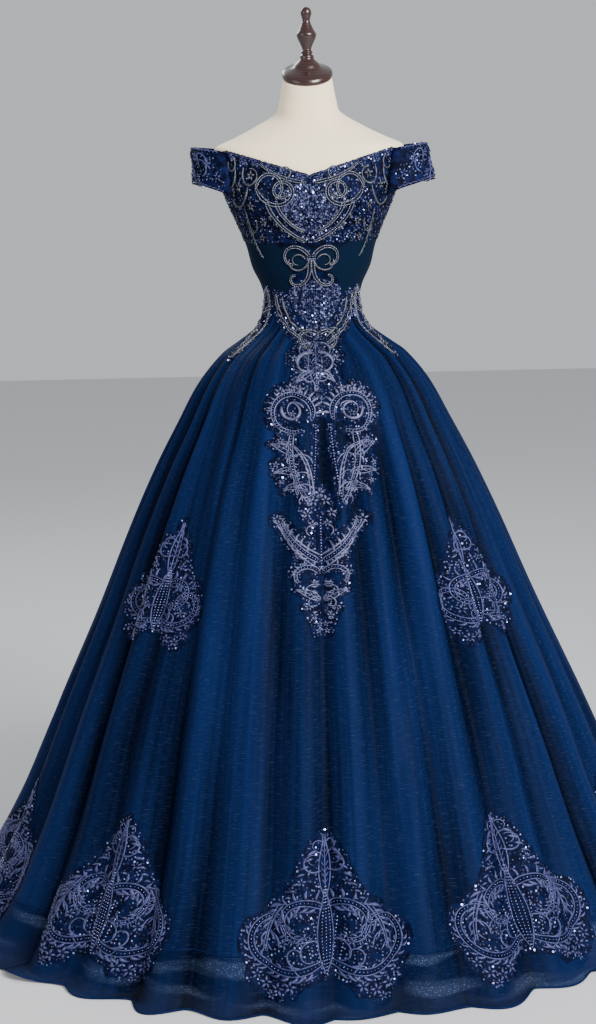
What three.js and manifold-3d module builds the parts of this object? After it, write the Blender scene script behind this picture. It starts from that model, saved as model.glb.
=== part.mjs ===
// A-line evening dress with an off-the-shoulder lace bodice and a full organza skirt,
// worn by a limbless dress form on a round stand.
// Millimetres, +Z up. The origin is on the floor under the form's pole; the front faces -Y.
// An angle round the body is measured from the centre front towards +X, in degrees.
import * as THREE from "three";
import Module from "manifold-3d";

const wasm = await Module();
wasm.setup();

// Heights of the garment
const waistSeam = 1120;
const neckPoint = 1360;
const backNeck = 1378;
const shoulderTip = 1412;
const underarm = 1336;

// Cloth walls and the clearances between layers
const bodiceWall = 1.6;
const skirtWall = 2.0;
const underskirtWall = 1.4;
const sleeveWall = 1.8;
const seamGap = 0.3;
const formClearance = 1.2;
const bodiceEase = 3.8;
const laceClearance = 1;
const cordHeight = 2.8;

// Points along the path of a lace cord, and the height below which the skirt's folds are
// deep enough for a cord to need a point at each fold's edge
const strokePoints = 60;
const deepFoldsBelow = 930;

// The body at the outside of the bodice, by height: half width, half depth, how far its
// centre lies behind the pole, and how steeply its rings dip towards the front.
const figure = [
  { z: 900, halfWidth: 148, halfDepth: 110, back: 0, lean: 0 },
  { z: 960, halfWidth: 144, halfDepth: 108, back: 0, lean: 0 },
  { z: 1010, halfWidth: 124, halfDepth: 96, back: 0, lean: 0 },
  { z: 1060, halfWidth: 95, halfDepth: 80, back: 0, lean: 0 },
  { z: 1100, halfWidth: 88, halfDepth: 75, back: 0, lean: 0 },
  { z: 1133, halfWidth: 88.8, halfDepth: 75, back: 0, lean: 0 },
  { z: 1160, halfWidth: 95, halfDepth: 79, back: 0, lean: 0 },
  { z: 1192, halfWidth: 110, halfDepth: 87, back: 0, lean: 0 },
  { z: 1231, halfWidth: 120, halfDepth: 94, back: -1, lean: 0 },
  { z: 1268, halfWidth: 134, halfDepth: 102, back: -3, lean: 0 },
  { z: 1300, halfWidth: 148, halfDepth: 108, back: -4, lean: 0 },
  { z: 1325, halfWidth: 158, halfDepth: 109, back: -4, lean: 0 },
  { z: 1355, halfWidth: 166, halfDepth: 105, back: -2, lean: 0 },
  { z: 1385, halfWidth: 171, halfDepth: 97, back: 2, lean: 0 },
  { z: 1412, halfWidth: 175.6, halfDepth: 86, back: 7, lean: 0 },
  { z: 1428, halfWidth: 141.3, halfDepth: 79, back: 10, lean: 0.06 },
  { z: 1447, halfWidth: 101.5, halfDepth: 70, back: 12, lean: 0.14 },
  { z: 1470, halfWidth: 61.6, halfDepth: 60, back: 12, lean: 0.24 },
  { z: 1493, halfWidth: 52.9, halfDepth: 53, back: 9, lean: 0.32 },
  { z: 1537, halfWidth: 45, halfDepth: 45, back: 4, lean: 0.38 },
];
const figureSquareness = 2.2;
const bust = { z: 1316, angle: 33, height: 13, spreadZ: 34, spreadAngle: 19 };

// The skirt's mean half width by height
const skirtProfile = [
  { z: 0, radius: 683 },
  { z: 206, radius: 570 },
  { z: 391, radius: 487 },
  { z: 566, radius: 408 },
  { z: 721, radius: 342 },
  { z: 824, radius: 294.5 },
  { z: 906, radius: 252 },
  { z: 978, radius: 213 },
  { z: 1030, radius: 171 },
  { z: 1052, radius: 141 },
  { z: 1076, radius: 109 },
  { z: 1092, radius: 96.5 },
  { z: 1107, radius: 91.5 },
  { z: 1120, radius: 89.3 },
];
const skirtLevels = [1120, 1100, 1076, 1045, 1000, 900, 720, 460, 190, 0];
const waistDepthShare = 0.86;
const roundSkirtBelow = 900;

// How far the folds stand in and out of the mean surface, by height
const foldHeight = [
  { z: 0, swing: 14 },
  { z: 300, swing: 13.5 },
  { z: 600, swing: 11.5 },
  { z: 850, swing: 8.5 },
  { z: 1000, swing: 4.5 },
  { z: 1076, swing: 1.8 },
  { z: 1120, swing: 0.5 },
];
// Folds round the hem from the centre back, by way of the left side, front and right
// side: the width of each in degrees, the depth of the valley before it and its crest.
const folds = [
  { width: 14, valley: 0.9, crest: 0.9 },
  { width: 12, valley: 1.1, crest: 1.0 },
  { width: 13.5, valley: 0.8, crest: 0.8 },
  { width: 11.5, valley: 1.2, crest: 1.1 },
  { width: 14.5, valley: 0.9, crest: 0.9 },
  { width: 12, valley: 1.0, crest: 1.1 },
  { width: 13, valley: 1.2, crest: 0.8 },
  { width: 13.5, valley: 0.8, crest: 1.0 },
  { width: 12, valley: 1.1, crest: 1.0 },
  { width: 13, valley: 0.9, crest: 0.9 },
  { width: 11, valley: 1.0, crest: 1.1 },
  { width: 11.4, valley: 0.8, crest: 0.8 },
  { width: 8.6, valley: 1.6, crest: 0.9 },
  { width: 11.2, valley: 0.6, crest: 1.0 },
  { width: 9.8, valley: 1.0, crest: 0.7 },
  { width: 9, valley: 1.5, crest: 0.7 },
  { width: 10, valley: 1.1, crest: 1.0 },
  { width: 11, valley: 0.7, crest: 1.1 },
  { width: 10.5, valley: 1.2, crest: 0.9 },
  { width: 10.5, valley: 0.9, crest: 1.0 },
  { width: 12, valley: 1.4, crest: 0.9 },
  { width: 12, valley: 0.8, crest: 1.1 },
  { width: 12.5, valley: 1.1, crest: 0.9 },
  { width: 14, valley: 0.9, crest: 1.0 },
  { width: 12, valley: 1.2, crest: 0.8 },
  { width: 13.5, valley: 0.8, crest: 1.1 },
  { width: 13, valley: 1.0, crest: 0.9 },
  { width: 12, valley: 1.2, crest: 1.0 },
  { width: 14, valley: 0.9, crest: 0.8 },
  { width: 14.5, valley: 1.1, crest: 1.0 },
];
// Columns across one fold: where each stands in its width, and its share of the crest
const foldColumns = [
  { share: 0.34, rise: 0.88 },
  { share: 0.66, rise: 0.88 },
];
const foldSideDrift = 10;

// The skirt's gores: the number of folds in each, from the centre back round by the left
const gores = [
  { name: "skirt_back_left", folds: 5 },
  { name: "skirt_side_left", folds: 5 },
  { name: "skirt_front", folds: 10 },
  { name: "skirt_side_right", folds: 5 },
  { name: "skirt_back_right", folds: 5 },
];

// The underskirt hangs inside the skirt's valleys, its inset given in swings of a fold
const underskirt = {
  columns: 18,
  levels: [72, 190, 460, 720, 900, 1000, 1045, 1076, 1100],
  inset: 1.8,
  nearest: -0.1,
};
const stand = { baseRadius: 150, baseHeight: 24, poleRadius: 12.5, torsoBottom: 900 };

// Colours and finishes
const finishes = {
  organza: { color: 0x1d3f78, roughness: 0.55, metalness: 0 },
  satin: { color: 0x0c2450, roughness: 0.35, metalness: 0 },
  lace: { color: 0x1c2450, roughness: 0.6, metalness: 0 },
  cord: { color: 0x9a9cb8, roughness: 0.4, metalness: 0.2 },
  jersey: { color: 0xeeecdf, roughness: 0.85, metalness: 0 },
  wood: { color: 0x3a140c, roughness: 0.25, metalness: 0 },
  steel: { color: 0x8c8c90, roughness: 0.35, metalness: 0.8 },
};
for (const [name, values] of Object.entries(finishes)) {
  finishes[name] = new THREE.MeshStandardMaterial(values);
}

const radians = THREE.MathUtils.degToRad;
const smooth = THREE.MathUtils.smoothstep;

// A column of a table read at height z along a smooth curve through its rows
function read(table, name, z) {
  const last = table.length - 1;
  if (z <= table[0].z) return table[0][name];
  if (z >= table[last].z) return table[last][name];
  let i = 0;
  while (table[i + 1].z < z) i++;
  const slope = (a, b) => (table[b][name] - table[a][name]) / (table[b].z - table[a].z);
  const span = table[i + 1].z - table[i].z;
  const t = (z - table[i].z) / span;
  const startSlope = i > 0 ? slope(i - 1, i + 1) : slope(0, 1);
  const endSlope = i + 1 < last ? slope(i, i + 2) : slope(last - 1, last);
  return (
    table[i][name] * (1 + 2 * t) * (1 - t) ** 2 +
    table[i + 1][name] * t * t * (3 - 2 * t) +
    span * t * (1 - t) * (startSlope * (1 - t) - endSlope * t)
  );
}

// A point of an oval ring, moved out from the pole's axis by out
function ovalPoint(angle, halfWidth, halfDepth, squareness, out, z) {
  const sine = Math.sin(radians(angle));
  const cosine = Math.cos(radians(angle));
  const power = 2 / squareness;
  return new THREE.Vector3(
    Math.sign(sine) * Math.abs(sine) ** power * halfWidth + out * sine,
    -Math.sign(cosine) * Math.abs(cosine) ** power * halfDepth - out * cosine,
    z,
  );
}

function figurePoint(angle, z, out) {
  const side = (Math.abs(angle) - bust.angle) / bust.spreadAngle;
  const level = (z - bust.z) / bust.spreadZ;
  const mound = bust.height * Math.exp(-side * side - level * level);
  const halfDepth = read(figure, "halfDepth", z);
  const point = ovalPoint(
    angle,
    read(figure, "halfWidth", z),
    halfDepth,
    figureSquareness,
    out + mound,
    z,
  );
  point.z += read(figure, "lean", z) * point.y;
  point.y += read(figure, "back", z);
  return point;
}

// Angles of the fold columns at the hem, and how far each stands in or out
function foldLines() {
  const lines = [];
  let start = -180;
  for (const fold of folds) {
    lines.push({ angle: start, swing: -fold.valley });
    for (const column of foldColumns) {
      const swing = fold.crest * column.rise;
      lines.push({ angle: start + fold.width * column.share, swing });
    }
    start += fold.width;
  }
  lines.push({ angle: 180, swing: -folds[0].valley });
  return lines;
}

// Folds stand further round to the sides near the waist than at the hem
function driftedAngle(angle, z) {
  return angle + foldSideDrift * Math.sin(radians(2 * angle)) * (z / waistSeam);
}

function skirtPoint(angle, z, out) {
  const radius = read(skirtProfile, "radius", z);
  const roundness = 1 - smooth(z, roundSkirtBelow, waistSeam);
  const halfDepth = radius * (waistDepthShare + (1 - waistDepthShare) * roundness);
  const squareness = figureSquareness + (2 - figureSquareness) * roundness;
  return ovalPoint(angle, radius, halfDepth, squareness, out, z);
}

// The height of the bodice's upper edge: a shallow V at the front and back, rising to
// the shoulders, and cut down under each arm
function bodiceTop(angle) {
  const turn = 180 - Math.abs(180 - Math.abs(angle));
  const across = Math.min(1, Math.sin(radians(turn)) ** 0.95 * 1.04);
  const lowest = turn < 90 ? neckPoint : backNeck;
  const neckline = lowest + (shoulderTip - lowest) * across;
  const armhole = smooth(Math.abs(turn - 90), 8, 30);
  return underarm + (neckline - underarm) * armhole;
}

// A cloth surface given by a grid of columns and rows, and read anywhere on its facets
class ClothGrid {
  constructor(columns, rows, place) {
    this.nodes = [];
    for (let i = 0; i < columns; i++) {
      this.nodes.push([]);
      for (let j = 0; j < rows; j++) this.nodes[i].push(place(i, j));
    }
    this.facets = [];
    for (let i = 0; i + 1 < columns; i++) {
      for (let j = 0; j + 1 < rows; j++) {
        const [a, b] = [this.nodes[i][j], this.nodes[i + 1][j]];
        const [c, d] = [this.nodes[i + 1][j + 1], this.nodes[i][j + 1]];
        this.facets.push([a, b, c], [a, c, d]);
      }
    }
  }

  // The distance from the pole's axis, measured along the facet at this angle and height
  find(angle, z) {
    const turn = angle > 180 ? angle - 360 : angle < -180 ? angle + 360 : angle;
    for (const [a, b, c] of this.facets) {
      const whole = (b.angle - a.angle) * (c.z - a.z) - (c.angle - a.angle) * (b.z - a.z);
      const second = ((turn - a.angle) * (c.z - a.z) - (c.angle - a.angle) * (z - a.z)) / whole;
      const third = ((b.angle - a.angle) * (z - a.z) - (turn - a.angle) * (b.z - a.z)) / whole;
      if (second >= -1e-6 && third >= -1e-6 && second + third <= 1 + 1e-6) {
        return a.point
          .clone()
          .multiplyScalar(1 - second - third)
          .addScaledVector(b.point, second)
          .addScaledVector(c.point, third);
      }
    }
    return null;
  }
}

function outward(point) {
  return new THREE.Vector3(point.x, point.y, 0).normalize();
}

function geometryOf(points, triangles) {
  const geometry = new THREE.BufferGeometry();
  const values = points.flatMap((point) => [point.x, point.y, point.z]);
  geometry.setAttribute("position", new THREE.Float32BufferAttribute(values, 3));
  geometry.setIndex(triangles.flat());
  return geometry;
}

// A wall between two grids of points: outer[column][row] and inner[column][row]
function wallGeometry(outer, inner) {
  const columns = outer.length;
  const rows = outer[0].length;
  const points = [...outer.flat(), ...inner.flat()];
  const out = (i, j) => i * rows + j;
  const into = (i, j) => columns * rows + i * rows + j;
  const triangles = [];
  const quad = (a, b, c, d) => triangles.push([a, b, c], [a, c, d]);
  for (let i = 0; i + 1 < columns; i++) {
    for (let j = 0; j + 1 < rows; j++) {
      quad(out(i, j), out(i + 1, j), out(i + 1, j + 1), out(i, j + 1));
      quad(into(i, j), into(i, j + 1), into(i + 1, j + 1), into(i + 1, j));
    }
    quad(out(i, 0), into(i, 0), into(i + 1, 0), out(i + 1, 0));
    const top = rows - 1;
    quad(out(i, top), out(i + 1, top), into(i + 1, top), into(i, top));
  }
  for (let j = 0; j + 1 < rows; j++) {
    const end = columns - 1;
    quad(out(0, j), out(0, j + 1), into(0, j + 1), into(0, j));
    quad(out(end, j), into(end, j), into(end, j + 1), out(end, j + 1));
  }
  return geometryOf(points, triangles);
}

// The columns of a grid from first to last as a wall, its two ends drawn back for a seam
function panelGeometry(grid, first, last, wall) {
  const outer = [];
  const inner = [];
  for (let i = first; i <= last; i++) {
    const ends = (i === first ? 1 : 0) - (i === last ? 1 : 0);
    const points = grid.nodes[i].map(({ point }) => {
      const away = outward(point);
      const along = new THREE.Vector3(-away.y, away.x, 0);
      return point.clone().addScaledVector(along, ends * seamGap);
    });
    outer.push(points);
    inner.push(points.map((point) => point.clone().addScaledVector(outward(point), -wall)));
  }
  return wallGeometry(outer, inner);
}

// A closed body through rings of points, with flat ends
function loftGeometry(rings) {
  const count = rings[0].length;
  const points = rings.flat();
  const triangles = [];
  for (let j = 0; j + 1 < rings.length; j++) {
    for (let i = 0; i < count; i++) {
      const next = (i + 1) % count;
      const [a, b] = [j * count + i, j * count + next];
      const [c, d] = [(j + 1) * count + next, (j + 1) * count + i];
      triangles.push([a, b, c], [a, c, d]);
    }
  }
  const top = (rings.length - 1) * count;
  for (let i = 1; i + 1 < count; i++) {
    triangles.push([0, i + 1, i], [top, top + i, top + i + 1]);
  }
  return geometryOf(points, triangles);
}

// A round body from a profile of radius and height, standing on the pole's axis
function turnedGeometry(profile, sides) {
  const points = profile.map(({ radius, z }) => new THREE.Vector2(radius, z));
  const geometry = new THREE.LatheGeometry(points, sides);
  return geometry.rotateX(Math.PI / 2);
}

const model = new THREE.Group();

function addPiece(name, geometry, finish) {
  const mesh = new THREE.Mesh(geometry, finish);
  mesh.name = name;
  model.add(mesh);
}

// Dress form

const formColumns = 32;
const formLevels = [
  900, 960, 1010, 1060, 1100, 1140, 1175, 1210, 1245, 1280, 1316, 1350, 1385, 1412, 1428,
  1447, 1458, 1470, 1493, 1537,
];

// The form lies inside the bodice up to its neckline, and looser below the shoulders
const bodiceEnds = { from: 1390, to: 1428 };
const easeEnds = { from: 1345, to: 1395 };

function addForm() {
  const rings = formLevels.map((z) => {
    const covered = 1 - smooth(z, bodiceEnds.from, bodiceEnds.to);
    const ease = bodiceEase * (1 - smooth(z, easeEnds.from, easeEnds.to));
    const inset = (bodiceWall + formClearance) * covered + ease;
    const ring = [];
    for (let i = 0; i < formColumns; i++) {
      ring.push(figurePoint((360 / formColumns) * i - 180, z, -inset));
    }
    return ring;
  });
  addPiece("form_torso", loftGeometry(rings), finishes.jersey);
}

// The turned cap, from the neck's cut face up to the ball on its finial. Its foot follows
// the tilt of the neck's cut face, and its stem stands upright.
const cap = { sides: 16, tiltFrom: 1545, tiltTo: 1582 };
const capProfile = [
  { radius: 0, z: 1537 },
  { radius: 44.5, z: 1537 },
  { radius: 46.5, z: 1540 },
  { radius: 46.5, z: 1546 },
  { radius: 43, z: 1550 },
  { radius: 27, z: 1556 },
  { radius: 22, z: 1562 },
  { radius: 13.5, z: 1570 },
  { radius: 12.5, z: 1576 },
  { radius: 9, z: 1579 },
  { radius: 11, z: 1582 },
  { radius: 8.3, z: 1587 },
  { radius: 12, z: 1597 },
  { radius: 17.5, z: 1609 },
  { radius: 18, z: 1615 },
  { radius: 13, z: 1624 },
  { radius: 7.4, z: 1637 },
  { radius: 7.4, z: 1642 },
  { radius: 10, z: 1653 },
  { radius: 6.5, z: 1661.5 },
  { radius: 0, z: 1664 },
];

function addCap() {
  const geometry = turnedGeometry(capProfile, cap.sides);
  const neckTop = figure[figure.length - 1];
  const positions = geometry.attributes.position;
  for (let i = 0; i < positions.count; i++) {
    const [y, z] = [positions.getY(i), positions.getZ(i)];
    const tilt = neckTop.lean * (1 - smooth(z, cap.tiltFrom, cap.tiltTo));
    positions.setZ(i, z + tilt * y + seamGap);
    positions.setY(i, y + neckTop.back);
  }
  addPiece("neck_cap", geometry, finishes.wood);
}

function addStand() {
  const { baseRadius, baseHeight, poleRadius, torsoBottom } = stand;
  const base = [
    { radius: 0, z: 0 },
    { radius: baseRadius, z: 0 },
    { radius: baseRadius, z: baseHeight * 0.5 },
    { radius: baseRadius - 14, z: baseHeight * 0.8 },
    { radius: poleRadius * 2, z: baseHeight },
    { radius: 0, z: baseHeight },
  ];
  addPiece("stand_base", turnedGeometry(base, 24), finishes.wood);
  const pole = [
    { radius: 0, z: baseHeight + seamGap },
    { radius: poleRadius, z: baseHeight + seamGap },
    { radius: poleRadius, z: torsoBottom - seamGap },
    { radius: 0, z: torsoBottom - seamGap },
  ];
  addPiece("stand_pole", turnedGeometry(pole, 16), finishes.steel);
}

// Bodice

const bodiceAngles = [];
for (let angle = -180; angle <= 180; angle += 9) bodiceAngles.push(angle);
const bodiceRows = [0, 0.1, 0.22, 0.35, 0.49, 0.63, 0.76, 0.88, 1];
const sideSeam = 81;

function bodiceNode(angle, share) {
  const z = waistSeam + seamGap + share * (bodiceTop(angle) - waistSeam);
  return { angle, z, point: figurePoint(angle, z, 0) };
}

const bodiceGrid = new ClothGrid(bodiceAngles.length, bodiceRows.length, (i, j) =>
  bodiceNode(bodiceAngles[i], bodiceRows[j]),
);

const zip = { halfAngle: 2.2, wall: 2.2 };

function addBodice() {
  const column = (angle) => bodiceAngles.indexOf(angle);
  const end = bodiceAngles.length - 1;
  const panels = [
    { name: "bodice_back_left", first: 0, last: column(-sideSeam) },
    { name: "bodice_front", first: column(-sideSeam), last: column(sideSeam) },
    { name: "bodice_back_right", first: column(sideSeam), last: end },
  ];
  for (const { name, first, last } of panels) {
    const cut = new ClothGrid(last - first + 1, bodiceRows.length, (i, j) => {
      const angle = bodiceAngles[first + i];
      const limit = 180 - zip.halfAngle;
      return bodiceNode(Math.max(-limit, Math.min(limit, angle)), bodiceRows[j]);
    });
    addPiece(name, panelGeometry(cut, 0, last - first, bodiceWall), finishes.lace);
  }
  const tape = new ClothGrid(3, bodiceRows.length, (i, j) =>
    bodiceNode(180 + (i - 1) * (zip.halfAngle - 0.2), bodiceRows[j]),
  );
  addPiece("back_zip", panelGeometry(tape, 0, 2, zip.wall), finishes.satin);
}

// Sleeves: short bands that start on the bodice's front, pass outside the shoulder and
// end on the back. Each stands off the body by its flare at the upper and lower edge.
const sleeve = { start: 57, end: 123, columns: 11, rows: 4, lowerInner: 1322, lowerOuter: 1352 };
const sleeves = [
  { name: "sleeve_left", side: -1, upperFlare: 37, lowerFlare: 46 },
  { name: "sleeve_right", side: 1, upperFlare: 37, lowerFlare: 62 },
];

function sleevePoint(turn, share, side, upperFlare, lowerFlare) {
  const swell = Math.sin((Math.PI * (turn - sleeve.start)) / (sleeve.end - sleeve.start)) ** 0.7;
  const atEdge = turn < 90 ? sleeve.start : sleeve.end;
  const upper = bodiceTop(atEdge) + (shoulderTip + 3 - bodiceTop(atEdge)) * swell;
  const lower = sleeve.lowerInner + (sleeve.lowerOuter - sleeve.lowerInner) * swell;
  const z = lower + (upper - lower) * share;
  const flare = (lowerFlare + (upperFlare - lowerFlare) * share) * swell;
  const out = sleeveWall + seamGap + laceClearance + flare;
  return figurePoint(side * turn, Math.min(z, shoulderTip), out).setZ(z);
}

function addSleeves() {
  for (const { name, side, upperFlare, lowerFlare } of sleeves) {
    const grid = new ClothGrid(sleeve.columns, sleeve.rows, (i, j) => {
      const turn = (sleeve.end - sleeve.start) * (i / (sleeve.columns - 1));
      const angle = side > 0 ? sleeve.start + turn : sleeve.end - turn;
      const share = j / (sleeve.rows - 1);
      const point = sleevePoint(angle, share, side, upperFlare, lowerFlare);
      return { angle: side * angle, z: point.z, point };
    });
    addPiece(name, panelGeometry(grid, 0, sleeve.columns - 1, sleeveWall), finishes.lace);
  }
}

// Skirt

const lines = foldLines();
const skirtGrid = new ClothGrid(lines.length, skirtLevels.length, (i, j) => {
  const z = skirtLevels[skirtLevels.length - 1 - j];
  const angle = driftedAngle(lines[i].angle, z);
  const out = lines[i].swing * read(foldHeight, "swing", z);
  return { angle, z, point: skirtPoint(angle, z, out) };
});

function addSkirt() {
  const columnsPerFold = foldColumns.length + 1;
  let first = 0;
  for (const gore of gores) {
    const last = first + gore.folds * columnsPerFold;
    addPiece(gore.name, panelGeometry(skirtGrid, first, last, skirtWall), finishes.organza);
    first = last;
  }
}

// A smooth satin skirt inside the folds, in a front and a back, ending above the floor
function addUnderskirt() {
  const half = underskirt.columns / 2;
  const halves = [
    { name: "underskirt_front", start: -90 },
    { name: "underskirt_back", start: 90 },
  ];
  for (const { name, start } of halves) {
    const grid = new ClothGrid(half + 1, underskirt.levels.length, (i, j) => {
      const z = underskirt.levels[j];
      const angle = start + (180 * i) / half;
      const inset = read(foldHeight, "swing", z) * underskirt.inset + underskirt.nearest;
      return { angle, z, point: skirtPoint(angle, z, -skirtWall - inset) };
    });
    addPiece(name, panelGeometry(grid, 0, half, underskirtWall), finishes.satin);
  }
}

// Lace

// The facet surface under the lace: the bodice above the waist seam, the skirt below it
function clothAt(angle, z) {
  const found = (z > waistSeam ? bodiceGrid : skirtGrid).find(angle, z);
  return found ?? (z > waistSeam ? figurePoint(angle, z, 0) : skirtPoint(angle, z, 0));
}

// Shares of a cord's full width: at its root, the growth from there, at least, lost
// towards a scroll's end, and how far inside a leaf's swelling its ends lie
const cordTaper = { root: 0.45, growth: 5, least: 0.22, scrollLoss: 0.45, leafEnd: 0.07 };

// A scroll stroke in flat millimetres, as close points: it leaves (x, y) at a heading and
// turns more and more towards its end, as a vine tendril does. A leaf swells in the middle.
function strokePath(stroke) {
  const path = [];
  let [x, y] = [stroke.x, stroke.y];
  const headingAt = (share) => radians(stroke.heading + stroke.turn * share ** stroke.curl);
  for (let i = 0; i <= strokePoints; i++) {
    const share = i / strokePoints;
    const root = Math.min(1, cordTaper.root + share * cordTaper.growth);
    const leafSwell = Math.sin(Math.PI * Math.min(1 - cordTaper.leafEnd, cordTaper.leafEnd + share));
    const swell = stroke.leaf ? leafSwell : 1 - cordTaper.scrollLoss * share;
    const size = Math.max(cordTaper.least, swell) * root;
    path.push({ x, y, heading: headingAt(share), half: (stroke.width / 2) * size });
    const middle = headingAt((i + 0.5) / strokePoints);
    x += (Math.cos(middle) * stroke.length) / strokePoints;
    y += (Math.sin(middle) * stroke.length) / strokePoints;
  }
  return path;
}

// The strip of facets that a point of the cloth lies in, where the folds are deep
function stripAt({ angle, z }) {
  if (z > deepFoldsBelow) return 0;
  const columns = lines.filter((line) => driftedAngle(line.angle, z) < angle).length;
  const levels = skirtLevels.filter((level) => level < z).length;
  return columns + levels * lines.length;
}

// The points of a path that its cord needs: even steps, and one at each deep fold's edge
function neededPoints(path, steps, place) {
  const strips = path.map(({ x, y }) => stripAt(onCloth(place, x, y)));
  const crossings = path.map((_, i) => i).filter((i) => i > 0 && strips[i] !== strips[i - 1]);
  const spacing = strokePoints / steps;
  const kept = crossings.filter((i, k) => k === 0 || i - crossings[k - 1] > spacing * 0.25);
  for (let i = 0; i <= steps; i++) {
    const even = Math.round(i * spacing);
    const isEnd = i === 0 || i === steps;
    const near = kept.some((j) => Math.abs(j - even) < spacing * 0.5);
    if (isEnd || !near) kept.push(even);
  }
  return [...new Set(kept)].sort((a, b) => a - b).map((i) => path[i]);
}

function mirrored(stroke) {
  return { ...stroke, x: -stroke.x, heading: 180 - stroke.heading, turn: -stroke.turn };
}

// A point of flat lace as an angle and a height on the cloth
function onCloth(place, x, y) {
  const z = place.z + y * place.scale * place.rise;
  const radius = z > waistSeam ? read(figure, "halfWidth", z) : read(skirtProfile, "radius", z);
  const width = x * place.scale * (place.side ?? 1);
  return { angle: place.angle + THREE.MathUtils.radToDeg(width / radius), z };
}

// One raised cord with a flat underside and a ridge, lifted where the cloth would cut it
function cordSolid(stroke, place) {
  const spot = (x, y) => {
    const { angle, z } = onCloth(place, x, y);
    return { angle, z, point: clothAt(angle, z), lift: 0 };
  };
  const path = neededPoints(strokePath(stroke), stroke.steps, place);
  const sections = path.map(({ x, y, heading, half }) => {
    const [sideways, upwards] = [-Math.sin(heading) * half, Math.cos(heading) * half];
    const edges = [spot(x + sideways, y + upwards), spot(x - sideways, y - upwards)];
    const [left, right] = (place.side ?? 1) > 0 ? edges : edges.reverse();
    return { left, right, middle: spot(x, y) };
  });
  const tracks = stroke.leaf ? ["left", "middle", "right"] : ["left", "right"];
  for (let i = 0; i + 1 < sections.length; i++) {
    for (let k = 0; k + 1 < tracks.length; k++) {
      const [near, far] = [sections[i], sections[i + 1]];
      clearCloth([near[tracks[k]], near[tracks[k + 1]], far[tracks[k]], far[tracks[k + 1]]]);
    }
  }
  const stand = ({ point }, out) =>
    point.clone().addScaledVector(outward(point), laceClearance + out);
  const points = sections.flatMap((section) => {
    const lift = Math.max(...tracks.map((track) => section[track].lift));
    const under = tracks.map((track) => stand(section[track], section[track].lift));
    return [...under, stand(section.middle, lift + cordHeight)];
  });
  const size = tracks.length + 1;
  const triangles = [];
  for (let i = 0; i + 1 < sections.length; i++) {
    for (let k = 0; k < size; k++) {
      const [a, b] = [i * size + k, i * size + ((k + 1) % size)];
      triangles.push([a, a + size, b + size], [a, b + size, b]);
    }
  }
  const end = points.length - size;
  for (let k = 1; k + 1 < size; k++) {
    triangles.push([0, k, k + 1], [end, end + k + 1, end + k]);
  }
  return new wasm.Manifold(
    new wasm.Mesh({
      numProp: 3,
      vertProperties: new Float32Array(points.flatMap((p) => [p.x, p.y, p.z])),
      triVerts: new Uint32Array(triangles.flat()),
    }),
  );
}

function liftedAlong({ point, lift }, axis) {
  return point[axis] * (1 + lift / Math.hypot(point.x, point.y));
}

// Lifts the four corners of a cord's underside until no facet of the cloth passes it
function clearCloth(corners) {
  const steps = [0, 1 / 6, 1 / 3, 1 / 2, 2 / 3, 5 / 6, 1];
  for (const along of steps) {
    for (const across of [0, 0.25, 0.5, 0.75, 1]) {
      const [near, far] = [1 - along, along];
      const shares = [near * (1 - across), near * across, far * (1 - across), far * across];
      const mean = (value) => corners.reduce((sum, c, k) => sum + shares[k] * value(c), 0);
      const under = clothAt(mean((c) => c.angle), mean((c) => c.z));
      const reach = Math.hypot(mean((c) => liftedAlong(c, "x")), mean((c) => liftedAlong(c, "y")));
      const short = Math.hypot(under.x, under.y) - reach;
      if (short <= 0) continue;
      const pull = shares.reduce((sum, share) => sum + share * share, 0);
      corners.forEach((corner, k) => (corner.lift += (short * shares[k]) / pull));
    }
  }
}

function addLace(name, strokes, place) {
  let joined = null;
  for (const stroke of strokes) {
    const cord = cordSolid(stroke, { scale: 1, rise: 1, ...place });
    joined = joined ? joined.add(cord) : cord;
  }
  const mesh = joined.getMesh();
  const geometry = new THREE.BufferGeometry();
  geometry.setAttribute("position", new THREE.BufferAttribute(mesh.vertProperties, 3));
  geometry.setIndex(new THREE.BufferAttribute(mesh.triVerts, 1));
  addPiece(name, geometry, finishes.cord);
}

function bothSides(strokes) {
  return [...strokes, ...strokes.map(mirrored)];
}

const leaf = (x, y, heading, length, turn, width, steps = 3) => ({
  x, y, heading, length, turn, curl: 1, width, steps, leaf: true,
});
const scroll = (x, y, heading, length, turn, curl, width, steps) => ({
  x, y, heading, length, turn, curl, width, steps, leaf: false,
});

// A triangular spray with its point up, drawn from the middle of its foot
const hemSpray = [
  leaf(0, 16, 90, 122, 0, 24, 2),
  leaf(0, 120, 90, 92, 0, 17, 2),
  ...bothSides([
    scroll(1, 34, -22, 224, 322, 1.9, 10, 5),
    scroll(1, 104, 42, 134, -268, 1.3, 9, 4),
  ]),
];

// A smaller spray for the sides of the skirt at half its height
const sideSpray = [
  leaf(0, 12, 90, 104, 0, 21, 2),
  leaf(0, 102, 90, 88, 0, 15, 2),
  ...bothSides([
    scroll(1, 28, -16, 148, 295, 1.9, 9, 4),
    scroll(1, 84, 42, 106, -262, 1.3, 8, 4),
  ]),
];

// A lobe beside the skirt's centre fold, hanging from its scroll
const centreLobe = [
  scroll(0, -34, 112, 196, -316, 1, 9, 8),
  scroll(33, -54, -78, 146, -50, 1, 9, 4),
  leaf(31, -104, 54, 52, -50, 14, 2),
  leaf(20, -138, 34, 52, -60, 13, 2),
  leaf(7, -168, 48, 50, -100, 12, 2),
];

// The drop below the lobes, with its point down
const lowerDrop = [
  leaf(0, -10, -90, 222, 0, 18, 3),
  ...bothSides([
    scroll(3, -108, 34, 104, 26, 1, 9, 3),
    scroll(4, -130, 60, 70, -200, 1.3, 8, 4),
    leaf(3, -182, 50, 50, -40, 13, 2),
  ]),
];

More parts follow.
